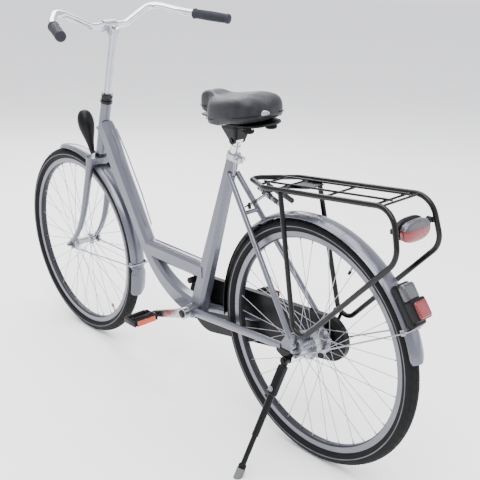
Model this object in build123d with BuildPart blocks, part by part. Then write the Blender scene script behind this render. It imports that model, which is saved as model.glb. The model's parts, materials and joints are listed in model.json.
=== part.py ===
"""A low-step city bicycle standing on its side stand.

The bicycle is drawn upright in its own plane, in millimetres: +X forward, +Y to its left, +Z up,
with the origin on the ground under the rear axle. At the end every piece is tipped over with the
lean that the side stand gives it, and moved so that the origin is in the middle of the whole
bicycle's box, at the height of the ground.
"""
import os
from math import cos, radians, sin, sqrt, tan

from build123d import *

os.makedirs("parts", exist_ok=True)

# ---------------------------------------------------------------- driving dimensions
# wheels
wheelbase = 1200.0
rim_outer_radius = 316.5        # lip of the rim, for a 622 mm bead seat
rim_depth = 20.5                # from its lip to the side that the spokes enter
rim_width = 25.0
rim_wall = 1.8
rim_well_depth = 10.5
rim_side_depth = 17.0           # height of its flat side walls
rim_bed_inset = 6.0             # how much narrower its bed is, on each side
tyre_section = 44.0             # width of the inflated tyre
tyre_sink = 7.0                 # how deep the tyre sits in the rim
tyre_wall = 3.0
bead_thickness = 3.4
spoke_count = 36
spoke_radius = 1.0
spoke_lead = 52.0               # degrees from a spoke's flange hole to its rim hole
axle_radius = 5.0
axle_nut_radius = 8.5

# hubs: half the distance between the dropouts, flange place and sizes
front_hub_half = 50.0
front_flange_offset = 32.0
front_flange_radius = 21.0
front_hub_radius = 13.0
rear_hub_half = 62.0
rear_flange_offset = 29.0
rear_flange_radius = 41.0
rear_hub_radius = 33.0
flange_thickness = 3.0
hub_seat_radius = 11.5

# frame
bracket_x = 508.0               # bottom bracket axis, ahead of the rear axle
bracket_drop = 58.0             # and below it
bracket_shell_radius = 24.0
bracket_shell_width = 70.0
bracket_bore = 17.0
cup_rim = 4.0                   # how far the bearing cups reach over the shell's bore
head_angle = 71.6               # steering axis from the horizontal, degrees
fork_offset = 53.5              # front axle ahead of the steering axis
head_tube_low = 405.0           # along the steering axis, from the axle's foot on it
head_tube_length = 191.0
head_tube_radius = 18.0
head_tube_bore = 16.0
seat_angle = 69.8               # seat tube from the horizontal, degrees
seat_tube_length = 557.0
seat_post_radius = 13.6
main_tube_join = 108.0          # where its axis meets the steering axis, above the head tube's foot
main_tube_bend_reach = 264.0    # where its straight part ends, ahead of the bracket
main_tube_bend_rise = 159.5     # and above it
bridge_front_rise = 145.5       # centre line of the bridge tube at the main tube, above the bracket
bridge_rear_rise = 140.5        # and at the seat tube
bridge_reach = 248.0            # its front end, ahead of the bracket
bridge_width = 48.0
bridge_height = 54.0
facet = 10.0                    # width of the bevels along the frame's tubes
tube_wall = 2.0
post_sleeve_foot = 297.0        # where the seat tube closes in around the seat post

# rear stays
dropout_thickness = 6.0
chainstay_front_height = 30.0
chainstay_front_width = 19.0
chainstay_rear_height = 22.0
chainstay_rear_width = 15.0
seat_stay_radius = 8.0

# mudguards
mudguard_clearance = 14.5       # from the tyre to the outer face of its crown
mudguard_half_width = 28.0
mudguard_crown = 11.0           # how far its edges lie below its crown
mudguard_thickness = 1.6
stay_wire_radius = 2.2

# rack
rack_tube_radius = 7.0
rack_rail_half = 70.0           # half the distance between the two rails
rack_rise = 441.5               # axis of the rails above the rear axle, straight over it
rail_slope = 0.083              # the rails rise to the rear
rack_tip_x = 224.0
rack_nose_x = 116.0
rack_bend_x = -316.0
platform_wire_radius = 3.0
platform_half = 32.0            # half the distance between the two long wires

# steering, stem and bar
steerer_radius = 14.3
quill_radius = 11.1
stem_height = 852.0             # bar clamp, along the steering axis
stem_reach = 29.0               # bar clamp ahead of the steering axis
bar_radius = 11.1
bar_clamp_radius = 12.7
grip_radius = 16.0
grip_length = 132.0

# cranks and pedals
crank_length = 170.0
crank_angle = 18.0              # left crank: forward, and this much below the horizontal
crank_inner = 52.0              # inner face of each crank from the middle plane
crank_thickness = 14.0
right_shift = 12.0              # the right crank stands further out, past the chain case
spindle_radius = 8.5
chain_line = 45.5
chainring_radius = 76.0
chainring_teeth = 38
sprocket_radius = 37.0
sprocket_teeth = 18
sprocket_thickness = 2.4
pedal_length = 92.0
pedal_depth = 66.0
pedal_height = 22.0
pedal_axle_radius = 4.5
pedal_gap = 5.0

# side stand
stand_pivot_x = 26.0
stand_pivot_drop = 35.5         # below the rear axle
stand_pivot_gap = 12.4          # outside of the dropout
stand_foot_x = 44.0
stand_foot_y = 251.0            # how far to the left the foot stands
stand_leg_radius = 8.0
stand_pin_radius = 4.0
stand_fold_axis = (-0.175, 0.9705, 0.170)
foot_length = 24.0
foot_radius = 12.0

# saddle, from the axis of its clamp
saddle_clamp_rise = 61.0        # above the seat tube's top, along it
saddle_nose_reach = 137.4
saddle_rear_reach = 156.6
saddle_half_width = 106.0
saddle_top_rise = 136.5
saddle_skirt_rise = 60.5

# clearances and stance
running_fit = 0.05              # round parts that turn or slide in one another
gap = 0.4                       # faces that pass each other
lean = 3.76                     # towards the stand, degrees

# ---------------------------------------------------------------- places worked out from them
wheel_radius = rim_outer_radius + tyre_section - tyre_sink
rim_bed_radius = rim_outer_radius - rim_depth
mudguard_radius = wheel_radius + mudguard_clearance
bracket_z = wheel_radius - bracket_drop
rear_axle = (0.0, 0.0, wheel_radius)
front_axle = (wheelbase, 0.0, wheel_radius)
bracket = (bracket_x, 0.0, bracket_z)
steer_up = Vector(-cos(radians(head_angle)), 0, sin(radians(head_angle)))
steer_ahead = Vector(sin(radians(head_angle)), 0, cos(radians(head_angle)))
steer_foot = Vector(*front_axle) - steer_ahead * fork_offset
seat_up = Vector(-cos(radians(seat_angle)), 0, sin(radians(seat_angle)))
head_tube_high = head_tube_low + head_tube_length
cup_height = 10.0
tyre_centre_radius = wheel_radius - tyre_section / 2
dropout_y = rear_hub_half + gap
rear_dropout_outer = dropout_y + dropout_thickness
stand_pivot = (stand_pivot_x, rear_dropout_outer + stand_pivot_gap, wheel_radius - stand_pivot_drop)
stand_foot = (stand_foot_x, stand_foot_y, stand_foot_y * tan(radians(lean)))
rear_wheel_plane = Plane(origin=rear_axle, x_dir=(1, 0, 0), z_dir=(0, -1, 0))

pieces = []


def on_steering(distance, ahead=0.0, left=0.0):
    """A point on the steering axis, moved ahead of it and to the left."""
    point = steer_foot + steer_up * distance + steer_ahead * ahead
    return Vector(point.X, left, point.Z)


def on_seat_tube(distance, behind=0.0, left=0.0):
    """A point on the seat tube's axis, moved behind it and to the left."""
    point = Vector(*bracket) + seat_up * distance
    return Vector(point.X - behind * seat_up.Z, left, point.Z + behind * seat_up.X)


def keep(name, part):
    """Label a finished piece and put it on the list to be written."""
    part.label = name
    pieces.append(part)


def rod(start, end, radius, mode=Mode.ADD):
    """A round bar between two points, in the part being built."""
    start = Vector(*start) if isinstance(start, tuple) else start
    end = Vector(*end) if isinstance(end, tuple) else end
    run = end - start
    with BuildSketch(Plane(origin=start, z_dir=run)) as face:
        Circle(radius)
    extrude(face.sketch, amount=run.length, mode=mode)


def disc(centre, radius, low, high, mode=Mode.ADD):
    """A round disc across the bicycle, between two distances from the middle plane."""
    x, _, z = tuple(centre)
    rod((x, low, z), (x, high, z), radius, mode)


def wire_rod(points, radii, radius):
    """A bent round bar through the points, in the part being built."""
    with BuildLine() as path:
        FilletPolyline(*points, radius=radii)
    with BuildSketch(Plane(origin=path.line @ 0, z_dir=path.line % 0)) as face:
        Circle(radius)
    sweep(face.sketch, path=path.line)


def faceted_face(centre, direction, width, depth, bevel):
    """A bevelled rectangle across a frame tube: width across the bicycle, depth in its plane."""
    with BuildSketch(Plane(origin=centre, x_dir=(0, 1, 0), z_dir=direction)) as face:
        Rectangle(width, depth)
        chamfer(face.vertices(), bevel)
    return face.sketch


def ring_profile(axle, angle):
    """The plane through a wheel's axle at an angle, with X outward and Y across the wheel."""
    turn = radians(angle)
    return Plane(origin=axle, x_dir=(cos(turn), 0, sin(turn)), z_dir=(sin(turn), 0, -cos(turn)))


def wheel_axis(axle):
    return Axis(axle, (0, -1, 0))


def mirrored(part):
    """The same piece on the other side of the bicycle."""
    return part.mirror(Plane.XZ)


# ---------------------------------------------------------------- frame: envelopes of its round tubes
with BuildPart() as head_blank:
    rod(on_steering(head_tube_low), on_steering(head_tube_high), head_tube_radius)

with BuildPart() as shell_blank:
    disc(bracket, bracket_shell_radius, -bracket_shell_width / 2, bracket_shell_width / 2)

# ---------------------------------------------------------------- frame: head tube
with BuildPart() as head_tube:
    add(head_blank.part)
    rod(on_steering(head_tube_low - 1), on_steering(head_tube_high + 1), head_tube_bore, Mode.SUBTRACT)
    chamfer(head_tube.edges().filter_by(GeomType.CIRCLE), 0.8)
keep("head_tube", head_tube.part)

# ---------------------------------------------------------------- frame: main tube
# A bevelled tube that tapers down from the head, then swells through one arc into the bracket.
main_bend = Vector(bracket_x + main_tube_bend_reach, 0, bracket_z + main_tube_bend_rise)
main_head = on_steering(head_tube_low + main_tube_join)
main_down = (main_bend - main_head).normalized()
main_inward = Vector(main_down.Z, 0, -main_down.X)
bend_chord = Vector(*bracket) - main_bend
bend_radius = bend_chord.dot(bend_chord) / (2 * bend_chord.dot(main_inward))
bend_turn = 2 * radians(main_down.get_angle(bend_chord))
bend_centre = main_bend + main_inward * bend_radius
main_stations = []
for share, width, depth in [(0.0, 46, 62), (0.34, 45, 58), (0.67, 44, 54), (1.0, 43, 50)]:
    main_stations.append((main_head + (main_bend - main_head) * share, main_down, width, depth))
for share, width, depth in [(0.3, 43, 54), (0.6, 45, 61), (0.85, 47, 67), (1.0, 48, 70)]:
    turn = bend_turn * share
    heading = main_down * cos(turn) + main_inward * sin(turn)
    spot = bend_centre - Vector(heading.Z, 0, -heading.X) * bend_radius
    main_stations.append((spot, heading, width, depth))

with BuildPart() as main_tube:
    loft([faceted_face(spot, way, wide, deep, facet) for spot, way, wide, deep in main_stations])
    loft(
        [
            faceted_face(spot, way, wide - 2 * tube_wall, deep - 2 * tube_wall, facet - tube_wall)
            for spot, way, wide, deep in main_stations
        ],
        mode=Mode.SUBTRACT,
    )
    add(head_blank.part, mode=Mode.SUBTRACT)
    add(shell_blank.part)
    disc(bracket, bracket_bore, -bracket_shell_width, bracket_shell_width, Mode.SUBTRACT)
keep("main_tube", main_tube.part.solids().sort_by(SortBy.VOLUME)[-1])

# ---------------------------------------------------------------- frame: seat tube
seat_tube_stations = [(12.0, 46, 56), (190.0, 42, 50), (400.0, 37, 42), (seat_tube_length, 35, 36)]
seat_tube_hollow = seat_tube_stations[:2] + [(post_sleeve_foot + 6, 37, 44)]


def seat_tube_loft(stations, wall, mode=Mode.ADD):
    """A bevelled bar along the seat tube's axis, one wall slimmer than its stations."""
    faces = []
    for at, width, depth in stations:
        faces.append(
            faceted_face(on_seat_tube(at), seat_up, width - 2 * wall, depth - 2 * wall, facet - wall)
        )
    loft(faces, mode=mode)


with BuildPart() as seat_tube:
    seat_tube_loft(seat_tube_stations, 0)
    rod(on_seat_tube(post_sleeve_foot), on_seat_tube(seat_tube_length + 1),
        seat_post_radius + running_fit, Mode.SUBTRACT)
    seat_tube_loft(seat_tube_hollow, tube_wall, Mode.SUBTRACT)
    add(shell_blank.part, mode=Mode.SUBTRACT)
    add(main_tube.part, mode=Mode.SUBTRACT)
keep("seat_tube", seat_tube.part.solids().sort_by(SortBy.VOLUME)[-1])

# ---------------------------------------------------------------- frame: bridge tube
bridge_front = Vector(*bracket) + Vector(bridge_reach, 0, bridge_front_rise)
bridge_rear = on_seat_tube(bridge_rear_rise / seat_up.Z)
bridge_way = bridge_front - bridge_rear
with BuildPart() as bridge_tube:
    for wall, mode in [(0, Mode.ADD), (tube_wall, Mode.SUBTRACT)]:
        face = faceted_face(
            bridge_rear, bridge_way, bridge_width - 2 * wall, bridge_height - 2 * wall, facet - wall
        )
        extrude(face, amount=bridge_way.length, mode=mode)
    add(main_tube.part, mode=Mode.SUBTRACT)
    add(seat_tube.part, mode=Mode.SUBTRACT)
keep("bridge_tube", bridge_tube.part.solids().sort_by(SortBy.VOLUME)[-1])

# ---------------------------------------------------------------- frame: rear stays and dropouts
stay_end_y = dropout_y + dropout_thickness / 2


def stay_face(centre, direction, width, height):
    with BuildSketch(Plane(origin=centre, x_dir=(0, 1, 0), z_dir=direction)) as face:
        Ellipse(width / 2, height / 2)
    return face.sketch


chainstay_front = Vector(bracket_x - 12, 27, bracket_z - 2)
chainstay_rear = Vector(58, stay_end_y, wheel_radius - 10)
chainstay_way = chainstay_rear - chainstay_front
chainstay_ends = [
    (chainstay_front, chainstay_front_width, chainstay_front_height),
    (chainstay_rear, chainstay_rear_width, chainstay_rear_height),
]
seat_stay_low = Vector(24, stay_end_y, wheel_radius + 24)
seat_stay_high = on_seat_tube(seat_tube_length - 42, behind=13, left=15)
stay_bridge_share = 0.75
stay_bridge = seat_stay_low + (seat_stay_high - seat_stay_low) * stay_bridge_share

with BuildPart() as left_stays:
    loft([stay_face(centre, chainstay_way, width, height) for centre, width, height in chainstay_ends])
    rod(seat_stay_low, seat_stay_high, seat_stay_radius)
    dropout_plane = Plane(origin=(0, dropout_y + dropout_thickness, 0), x_dir=(1, 0, 0), z_dir=(0, -1, 0))
    with BuildSketch(dropout_plane) as dropout:
        with Locations((0, wheel_radius)):
            Circle(17)
        with Locations((chainstay_rear.X - 4, chainstay_rear.Z)):
            Circle(11)
        with Locations((seat_stay_low.X + 2, seat_stay_low.Z + 8)):
            Circle(9)
        with Locations((stand_pivot_x - 4, stand_pivot[2] + 12)):
            Circle(8)
        make_hull()
    extrude(amount=dropout_thickness)
    disc(rear_axle, axle_radius + running_fit, 0, 200, Mode.SUBTRACT)
    disc(bracket, bracket_bore + cup_rim + gap, 0, bracket_shell_width, Mode.SUBTRACT)
    add(main_tube.part, mode=Mode.SUBTRACT)
    add(seat_tube.part, mode=Mode.SUBTRACT)

with BuildPart() as right_stays:
    add(mirrored(left_stays.part.solids().sort_by(SortBy.VOLUME)[-1]))
    rod((stay_bridge.X, -stay_bridge.Y, stay_bridge.Z), stay_bridge, seat_stay_radius - 2)
    add(left_stays.part, mode=Mode.SUBTRACT)
keep("left_stays", left_stays.part.solids().sort_by(SortBy.VOLUME)[-1])
keep("right_stays", right_stays.part.solids().sort_by(SortBy.VOLUME)[-1])

# ---------------------------------------------------------------- headset and bracket cups
with BuildPart() as headset_cups:
    for low, high, inside in [
        (head_tube_low - cup_height, head_tube_low, head_tube_low + 9),
        (head_tube_high, head_tube_high + cup_height, head_tube_high - 9),
    ]:
        rod(on_steering(low), on_steering(high), head_tube_radius + 3)
        rod(on_steering(low if inside < low else high), on_steering(inside), head_tube_bore)
    rod(on_steering(head_tube_low - 20), on_steering(head_tube_high + 20),
        steerer_radius + running_fit, Mode.SUBTRACT)
keep("headset_cups", headset_cups.part)

bearing_face = bracket_shell_width / 2
with BuildPart() as bottom_bracket_cups:
    for side in (-1, 1):
        disc(bracket, bracket_bore, side * (bearing_face - 14), side * bearing_face)
        disc(bracket, bracket_bore + cup_rim, side * bearing_face, side * (bearing_face + 4))
    disc(bracket, spindle_radius + running_fit, -80, 80, Mode.SUBTRACT)
keep("bottom_bracket_cups", bottom_bracket_cups.part)

# ---------------------------------------------------------------- seat clamp
clamp_low = on_seat_tube(seat_tube_length)
clamp_height = 17.0
clamp_bolt_at = seat_tube_length + clamp_height / 2
clamp_bolt_behind = seat_post_radius + 12.4
clamp_plane = Plane(origin=clamp_low, x_dir=(0, 1, 0), z_dir=seat_up)
with BuildPart() as seat_clamp:
    rod(clamp_low, on_seat_tube(seat_tube_length + clamp_height), seat_post_radius + 6.4)
    with BuildSketch(clamp_plane) as ears:
        with Locations((0, seat_post_radius + 10.4)):
            RectangleRounded(24, 20, 3)
    extrude(ears.sketch, amount=clamp_height)
    rod(on_seat_tube(seat_tube_length - 5), on_seat_tube(seat_tube_length + 30),
        seat_post_radius + running_fit, Mode.SUBTRACT)
    with BuildSketch(clamp_plane) as slot:
        with Locations((0, seat_post_radius + 10.4)):
            Rectangle(3, 24)
    extrude(slot.sketch, amount=clamp_height, mode=Mode.SUBTRACT)
    for inner, outer, radius in [(-20, 20, 3), (12, 20, 6), (-12, -18, 6)]:
        rod(on_seat_tube(clamp_bolt_at, clamp_bolt_behind, inner),
            on_seat_tube(clamp_bolt_at, clamp_bolt_behind, outer), radius)
    rod(on_seat_tube(clamp_bolt_at, clamp_bolt_behind, 17),
        on_seat_tube(seat_tube_length - 28, clamp_bolt_behind + 16, 25), 3.5)
keep("seat_clamp", seat_clamp.part)

# ---------------------------------------------------------------- axles


def axle_set(axle, half, dropout_outer):
    """An axle with its cones, washers and nuts, as one group of turned pieces."""
    disc(axle, axle_radius, -dropout_outer - 16, dropout_outer + 16)
    for side in (-1, 1):
        disc(axle, axle_radius + 3, side * (half - 9), side * half)
        disc(axle, axle_nut_radius + 1.5, side * dropout_outer, side * (dropout_outer + 1.6))
        nut_plane = Plane(origin=(axle[0], side * (dropout_outer + 1.6), axle[2]), z_dir=(0, side, 0))
        with BuildSketch(nut_plane) as nut:
            RegularPolygon(axle_nut_radius, 6)
        extrude(nut.sketch, amount=9)


with BuildPart() as rear_axle_set:
    axle_set(rear_axle, rear_hub_half + gap, rear_dropout_outer)
keep("rear_axle", rear_axle_set.part)

fork_dropout_y = front_hub_half + gap
fork_dropout_thickness = 5.0
fork_outer = fork_dropout_y + fork_dropout_thickness
with BuildPart() as front_axle_set:
    axle_set(front_axle, front_hub_half + gap, fork_outer)

# ---------------------------------------------------------------- mudguards


def mudguard_blade(axle, start, end, half, crown_radius):
    """A strip of a mudguard between two angles about its wheel's axle."""
    edge_radius = crown_radius - mudguard_crown
    inner_half = half - mudguard_thickness
    with BuildSketch(ring_profile(axle, start)) as section:
        with BuildLine():
            outer = ThreePointArc((edge_radius, -half), (crown_radius, 0), (edge_radius, half))
            inner = ThreePointArc(
                (edge_radius, -inner_half), (crown_radius - mudguard_thickness, 0), (edge_radius, inner_half)
            )
            Line(outer @ 0, inner @ 0)
            Line(outer @ 1, inner @ 1)
        make_face()
    revolve(section.sketch, axis=wheel_axis(axle), revolution_arc=end - start)


bridge_middle = Vector(stay_bridge.X, 0, stay_bridge.Z)
bridge_inward = (Vector(*rear_axle) - bridge_middle).normalized()
bridge_inward_length = (Vector(*rear_axle) - bridge_middle).length
rear_guard_join = 48.0
rear_guard_end = 169.5
with BuildPart() as rear_mudguard:
    mudguard_blade(rear_axle, rear_guard_join, rear_guard_end, mudguard_half_width, mudguard_radius)
    rod(bridge_middle, bridge_middle + bridge_inward * (bridge_inward_length - mudguard_radius + 1), 5)
    add(left_stays.part, mode=Mode.SUBTRACT)
    add(right_stays.part, mode=Mode.SUBTRACT)
keep("rear_mudguard", rear_mudguard.part.solids().sort_by(SortBy.VOLUME)[-1])

front_guard_half = mudguard_half_width - 3.5
with BuildPart() as rear_mudguard_front:
    mudguard_blade(rear_axle, -4.0, rear_guard_join + 3, front_guard_half, mudguard_radius - 2.2)
keep("rear_mudguard_front", rear_mudguard_front.part)

guard_tip = 78.0
guard_flap = 184.0
guard_end = 199.0
with BuildPart() as front_mudguard:
    mudguard_blade(front_axle, guard_tip, guard_flap, mudguard_half_width, mudguard_radius)
keep("front_mudguard", front_mudguard.part)

with BuildPart() as front_mudguard_flap:
    mudguard_blade(front_axle, guard_flap - 2, guard_end, mudguard_half_width + 1.8, mudguard_radius + 1.8)
keep("front_mudguard_flap", front_mudguard_flap.part)


def guard_stay(axle, anchor, angle, half):
    """A wire stay: from a dropout to the guard's edge, round its outside and back."""
    turn = radians(angle)
    reach = mudguard_radius + stay_wire_radius + 0.1
    tip = (axle[0] + reach * cos(turn), axle[2] + reach * sin(turn))
    points = [
        (anchor[0], anchor[1], anchor[2]),
        (tip[0], half + 5, tip[1]),
        (tip[0], -half - 5, tip[1]),
        (anchor[0], -anchor[1], anchor[2]),
    ]
    wire_rod(points, [7, 7], stay_wire_radius)


rear_eye = (-7, 0, wheel_radius - 15)
with BuildPart() as rear_mudguard_stays:
    guard_stay(rear_axle, (rear_eye[0], rear_dropout_outer + 4.5, rear_eye[2]), 155.5, mudguard_half_width)
    for side in (-1, 1):
        disc(rear_eye, 6, side * (rear_dropout_outer + 0.2), side * (rear_dropout_outer + 8.5))
keep("rear_mudguard_stays", rear_mudguard_stays.part)

fork_eye = (wheelbase - 17, 0, wheel_radius - 8)
with BuildPart() as front_mudguard_stays:
    guard_stay(front_axle, (fork_eye[0], fork_outer + 4, fork_eye[2]), 179.5, mudguard_half_width)
    for side in (-1, 1):
        disc(fork_eye, 5.5, side * (fork_outer + 0.2), side * (fork_outer + 8))
keep("front_mudguard_stays", front_mudguard_stays.part)

# ---------------------------------------------------------------- rack


def rack_z(x):
    """Height of the rails' axis over a place along the bicycle."""
    return wheel_radius + rack_rise - rail_slope * x


side_points = [
    (rack_tip_x, 0, rack_z(rack_tip_x)),
    (rack_tip_x - 4, 15, rack_z(rack_tip_x)),
    (rack_nose_x, rack_rail_half, rack_z(rack_nose_x)),
    (rack_bend_x, rack_rail_half, rack_z(rack_bend_x)),
    (rack_bend_x - 26, rack_rail_half + 11, wheel_radius + 350.5),
    (-17, rack_rail_half + 20, wheel_radius + 27.5),
    (48, rack_rail_half + 2, rack_z(48) - rack_tube_radius + 1),
]
rack_eye = (-6, 0, wheel_radius + 20)
rack_foot = (-24, rack_rail_half + 18, wheel_radius + 70.5)
with BuildPart() as rack_left:
    wire_rod(side_points, [8, 60, 55, 60, 34], rack_tube_radius)
    rod(rack_foot, (rack_eye[0], rear_dropout_outer + 9, rack_eye[2]), 5)
    disc(rack_eye, 8, rear_dropout_outer + 0.2, rear_dropout_outer + 14)
with BuildPart() as rack_frame:
    add(rack_left.part)
    add(mirrored(rack_left.part))
keep("rack_frame", rack_frame.part)

# The platform: cross wires between the rails, two long wires welded on top of them, and a plate
# for a lock under the long wires.
cross_wires = [150.0, 70.0, -100.0, -258.0, -282.0]
long_wire_rise = 2 * platform_wire_radius
lock_plate_x = 20.0
lock_plate_thickness = 3.0
platform_up = Vector(rail_slope, 0, 1).normalized()
lock_plate_rise = long_wire_rise - platform_wire_radius - lock_plate_thickness


def over_rails(x, y, rise):
    """A point over the plane of the two rails."""
    return Vector(x, y, rack_z(x)) + platform_up * rise


with BuildPart() as rack_wires:
    for x in cross_wires:
        half = rack_rail_half
        if x > rack_nose_x:
            half = rack_rail_half * (rack_tip_x - x) / (rack_tip_x - rack_nose_x)
        rod((x, -half, rack_z(x)), (x, half, rack_z(x)), platform_wire_radius)
    add(rack_frame.part, mode=Mode.SUBTRACT)
with BuildPart() as rack_long_wires:
    for y in (-platform_half, platform_half):
        rod(over_rails(cross_wires[0], y, long_wire_rise), over_rails(cross_wires[-1], y, long_wire_rise),
            platform_wire_radius)
lock_plate_foot = over_rails(lock_plate_x, 0, lock_plate_rise)
with BuildPart() as lock_plate:
    with BuildSketch(Plane(origin=lock_plate_foot, x_dir=(1, 0, -rail_slope), z_dir=platform_up)):
        Trapezoid(100, 62, 70, rotation=90)
        with Locations((-8, 18), (-8, -18)):
            Circle(7, mode=Mode.SUBTRACT)
    extrude(amount=lock_plate_thickness)
platform_wires = rack_wires.part.solids() + rack_long_wires.part.solids() + lock_plate.part.solids()
keep("rack_platform", Compound(children=platform_wires))

# The perforated strap that ties the rack to the seat stays.
strap_end = stay_bridge + Vector(6, -stay_bridge.Y, seat_stay_radius + 8)
strap_rear = Vector(172, 0, wheel_radius + 388.5)
strap_way = strap_rear - strap_end
strap_plane = Plane(origin=strap_end, x_dir=strap_way, z_dir=strap_way.cross(Vector(0, 1, 0)) * -1)
strap_seat_x = cross_wires[1]
strap_seat_z = rack_z(strap_seat_x) - 2 * platform_wire_radius - 0.2
with BuildPart() as rack_strap:
    with BuildSketch(strap_plane) as strap:
        with Locations((strap_way.length / 2, 0)):
            RectangleRounded(strap_way.length + 24, 26, 8)
        with Locations(*[(strap_way.length * share, 0) for share in (0.0, 0.28, 0.56, 0.84)]):
            Circle(5, mode=Mode.SUBTRACT)
    extrude(strap.sketch, amount=3)
    for side in (-1, 1):
        rod(strap_rear + Vector(14, side * 9, 0), (strap_seat_x, side * 16, strap_seat_z),
            platform_wire_radius)
    rod(strap_end + Vector(0, 0, -9), strap_end + Vector(0, 0, 8), 4.9)
keep("rack_strap", rack_strap.part)

# ---------------------------------------------------------------- rack lamp
lamp_x = rack_bend_x - 4
lamp_z = wheel_radius + 403.5
with BuildPart() as rack_lamp_blank:
    with BuildSketch(Plane(origin=(lamp_x + 24, 0, lamp_z), x_dir=(0, -1, 0), z_dir=(-1, 0, 0))):
        Ellipse(52, 30)
        with Locations((0, 40)):
            Rectangle(120, 40, mode=Mode.SUBTRACT)
    extrude(amount=48)
    chamfer(rack_lamp_blank.faces().sort_by(Axis.X)[0].edges(), 8)
lens_face = Plane(origin=(lamp_x, 0, lamp_z), z_dir=(-1, 0, 0))
with BuildPart() as rack_lamp_lens:
    add(split(rack_lamp_blank.part, bisect_by=lens_face, keep=Keep.TOP, mode=Mode.PRIVATE))
keep("rack_lamp_lens", rack_lamp_lens.part)
with BuildPart() as rack_lamp_housing:
    add(split(rack_lamp_blank.part, bisect_by=lens_face, keep=Keep.BOTTOM, mode=Mode.PRIVATE))
    for side in (-1, 1):
        rod((lamp_x + 8, side * 40, lamp_z + 8), (lamp_x - 6, side * (rack_rail_half + 4), lamp_z + 8), 5)
    add(rack_frame.part, mode=Mode.SUBTRACT)
    add(rack_lamp_lens.part, mode=Mode.SUBTRACT)
keep("rack_lamp_housing", rack_lamp_housing.part.solids().sort_by(SortBy.VOLUME)[-1])

# ---------------------------------------------------------------- mudguard lamp
# Its outline: angle about the rear axle, and height above the mudguard's crown.
guard_lamp_outline = [(136.3, -11.2), (135.4, 25.5), (139.0, 50.6), (145.1, 58.9), (152.7, 43.7),
                      (154.0, 25.8), (153.7, -6.4)]
guard_lamp_half = 27.0


def on_rear_guard(angle, rise):
    """A point in the bicycle's plane, at an angle about the rear axle and a height over the mudguard."""
    reach = mudguard_radius + rise
    return reach * cos(radians(angle)), wheel_radius + reach * sin(radians(angle))


with BuildPart() as guard_lamp_blank:
    with BuildSketch(Plane(origin=(0, guard_lamp_half, 0), x_dir=(1, 0, 0), z_dir=(0, -1, 0))) as lamp_side:
        with BuildLine():
            Polyline(*[on_rear_guard(angle, rise) for angle, rise in guard_lamp_outline], close=True)
        make_face()
        fillet(lamp_side.vertices().sort_by(Axis.X)[0:3], 6)
    extrude(amount=2 * guard_lamp_half)
    disc(rear_axle, mudguard_radius + 0.2, -60, 60, Mode.SUBTRACT)
lens_x, lens_z = on_rear_guard(146.6, 34.4)
guard_lens_face = Plane(origin=(lens_x, 0, lens_z), z_dir=(-0.96, 0, 0.28))
with BuildPart() as mudguard_lamp_lens:
    add(split(guard_lamp_blank.part, bisect_by=guard_lens_face, keep=Keep.TOP, mode=Mode.PRIVATE))
keep("mudguard_lamp_lens", mudguard_lamp_lens.part)
with BuildPart() as mudguard_lamp_housing:
    add(split(guard_lamp_blank.part, bisect_by=guard_lens_face, keep=Keep.BOTTOM, mode=Mode.PRIVATE))
keep("mudguard_lamp_housing", mudguard_lamp_housing.part)

# ---------------------------------------------------------------- chain case and chain
case_inner_y = -37.6
case_outer_y = -55.0
case_wall = 1.8
case_front_radius = 96.0
case_rear_radius = 66.0
case_rear_x = -18.0
case_rear_z = wheel_radius + 4


def case_outline(grow, y):
    """The outline of the chain case at a distance from the middle plane, seen from the right."""
    with BuildSketch(Plane(origin=(0, y, 0), x_dir=(1, 0, 0), z_dir=(0, -1, 0))) as outline:
        with Locations((bracket_x, bracket_z)):
            Circle(case_front_radius + grow)
        with Locations((case_rear_x, case_rear_z)):
            Circle(case_rear_radius + grow)
        make_hull()
    return outline.sketch


stay_slot = 3.0                 # how much wider and higher than the chainstay its slot in the case is
with BuildPart() as left_slot:
    loft(
        [
            stay_face(centre, chainstay_way, width + stay_slot, height + stay_slot)
            for centre, width, height in chainstay_ends
        ]
    )
case_cutters = mirrored(left_slot.part)
case_depth = case_inner_y - case_outer_y
with BuildPart() as chain_case_inner:
    extrude(case_outline(0, case_inner_y), amount=case_depth - case_wall - 0.2)
    extrude(case_outline(-case_wall, case_inner_y - case_wall), amount=case_depth, mode=Mode.SUBTRACT)
    disc(rear_axle, rear_flange_radius + 5, case_inner_y + 5, case_inner_y - 5, Mode.SUBTRACT)
    disc(bracket, bracket_bore + cup_rim + 0.3, case_inner_y + 5, case_inner_y - 5, Mode.SUBTRACT)
    add(case_cutters, mode=Mode.SUBTRACT)
    add(right_stays.part, mode=Mode.SUBTRACT)
keep("chain_case_inner", chain_case_inner.part.solids().sort_by(SortBy.VOLUME)[-1])
with BuildPart() as chain_case_outer:
    extrude(case_outline(0, case_outer_y + case_wall), amount=case_wall)
    disc(rear_axle, 20, case_outer_y + 6, case_outer_y - 6, Mode.SUBTRACT)
    disc(bracket, 24, case_outer_y + 6, case_outer_y - 6, Mode.SUBTRACT)
    add(case_cutters, mode=Mode.SUBTRACT)
    add(right_stays.part, mode=Mode.SUBTRACT)
keep("chain_case_outer", chain_case_outer.part.solids().sort_by(SortBy.VOLUME)[-1])


def chain_outline(grow, y):
    """The outline of the chain round both wheels, at a distance from the middle plane."""
    with BuildSketch(Plane(origin=(0, y, 0), x_dir=(1, 0, 0), z_dir=(0, -1, 0))) as outline:
        with Locations((bracket_x, bracket_z)):
            Circle(chainring_radius + grow)
        with Locations((0, wheel_radius)):
            Circle(sprocket_radius + grow)
        make_hull()
    return outline.sketch


plate_inner = sprocket_thickness / 2 + gap
plate_thickness = 1.2
with BuildPart() as chain:
    for near in (-chain_line - plate_inner, -chain_line + plate_inner + plate_thickness):
        extrude(chain_outline(3.5, near), amount=plate_thickness)
        extrude(chain_outline(-4.5, near), amount=plate_thickness, mode=Mode.SUBTRACT)
keep("chain", chain.part)

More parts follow.
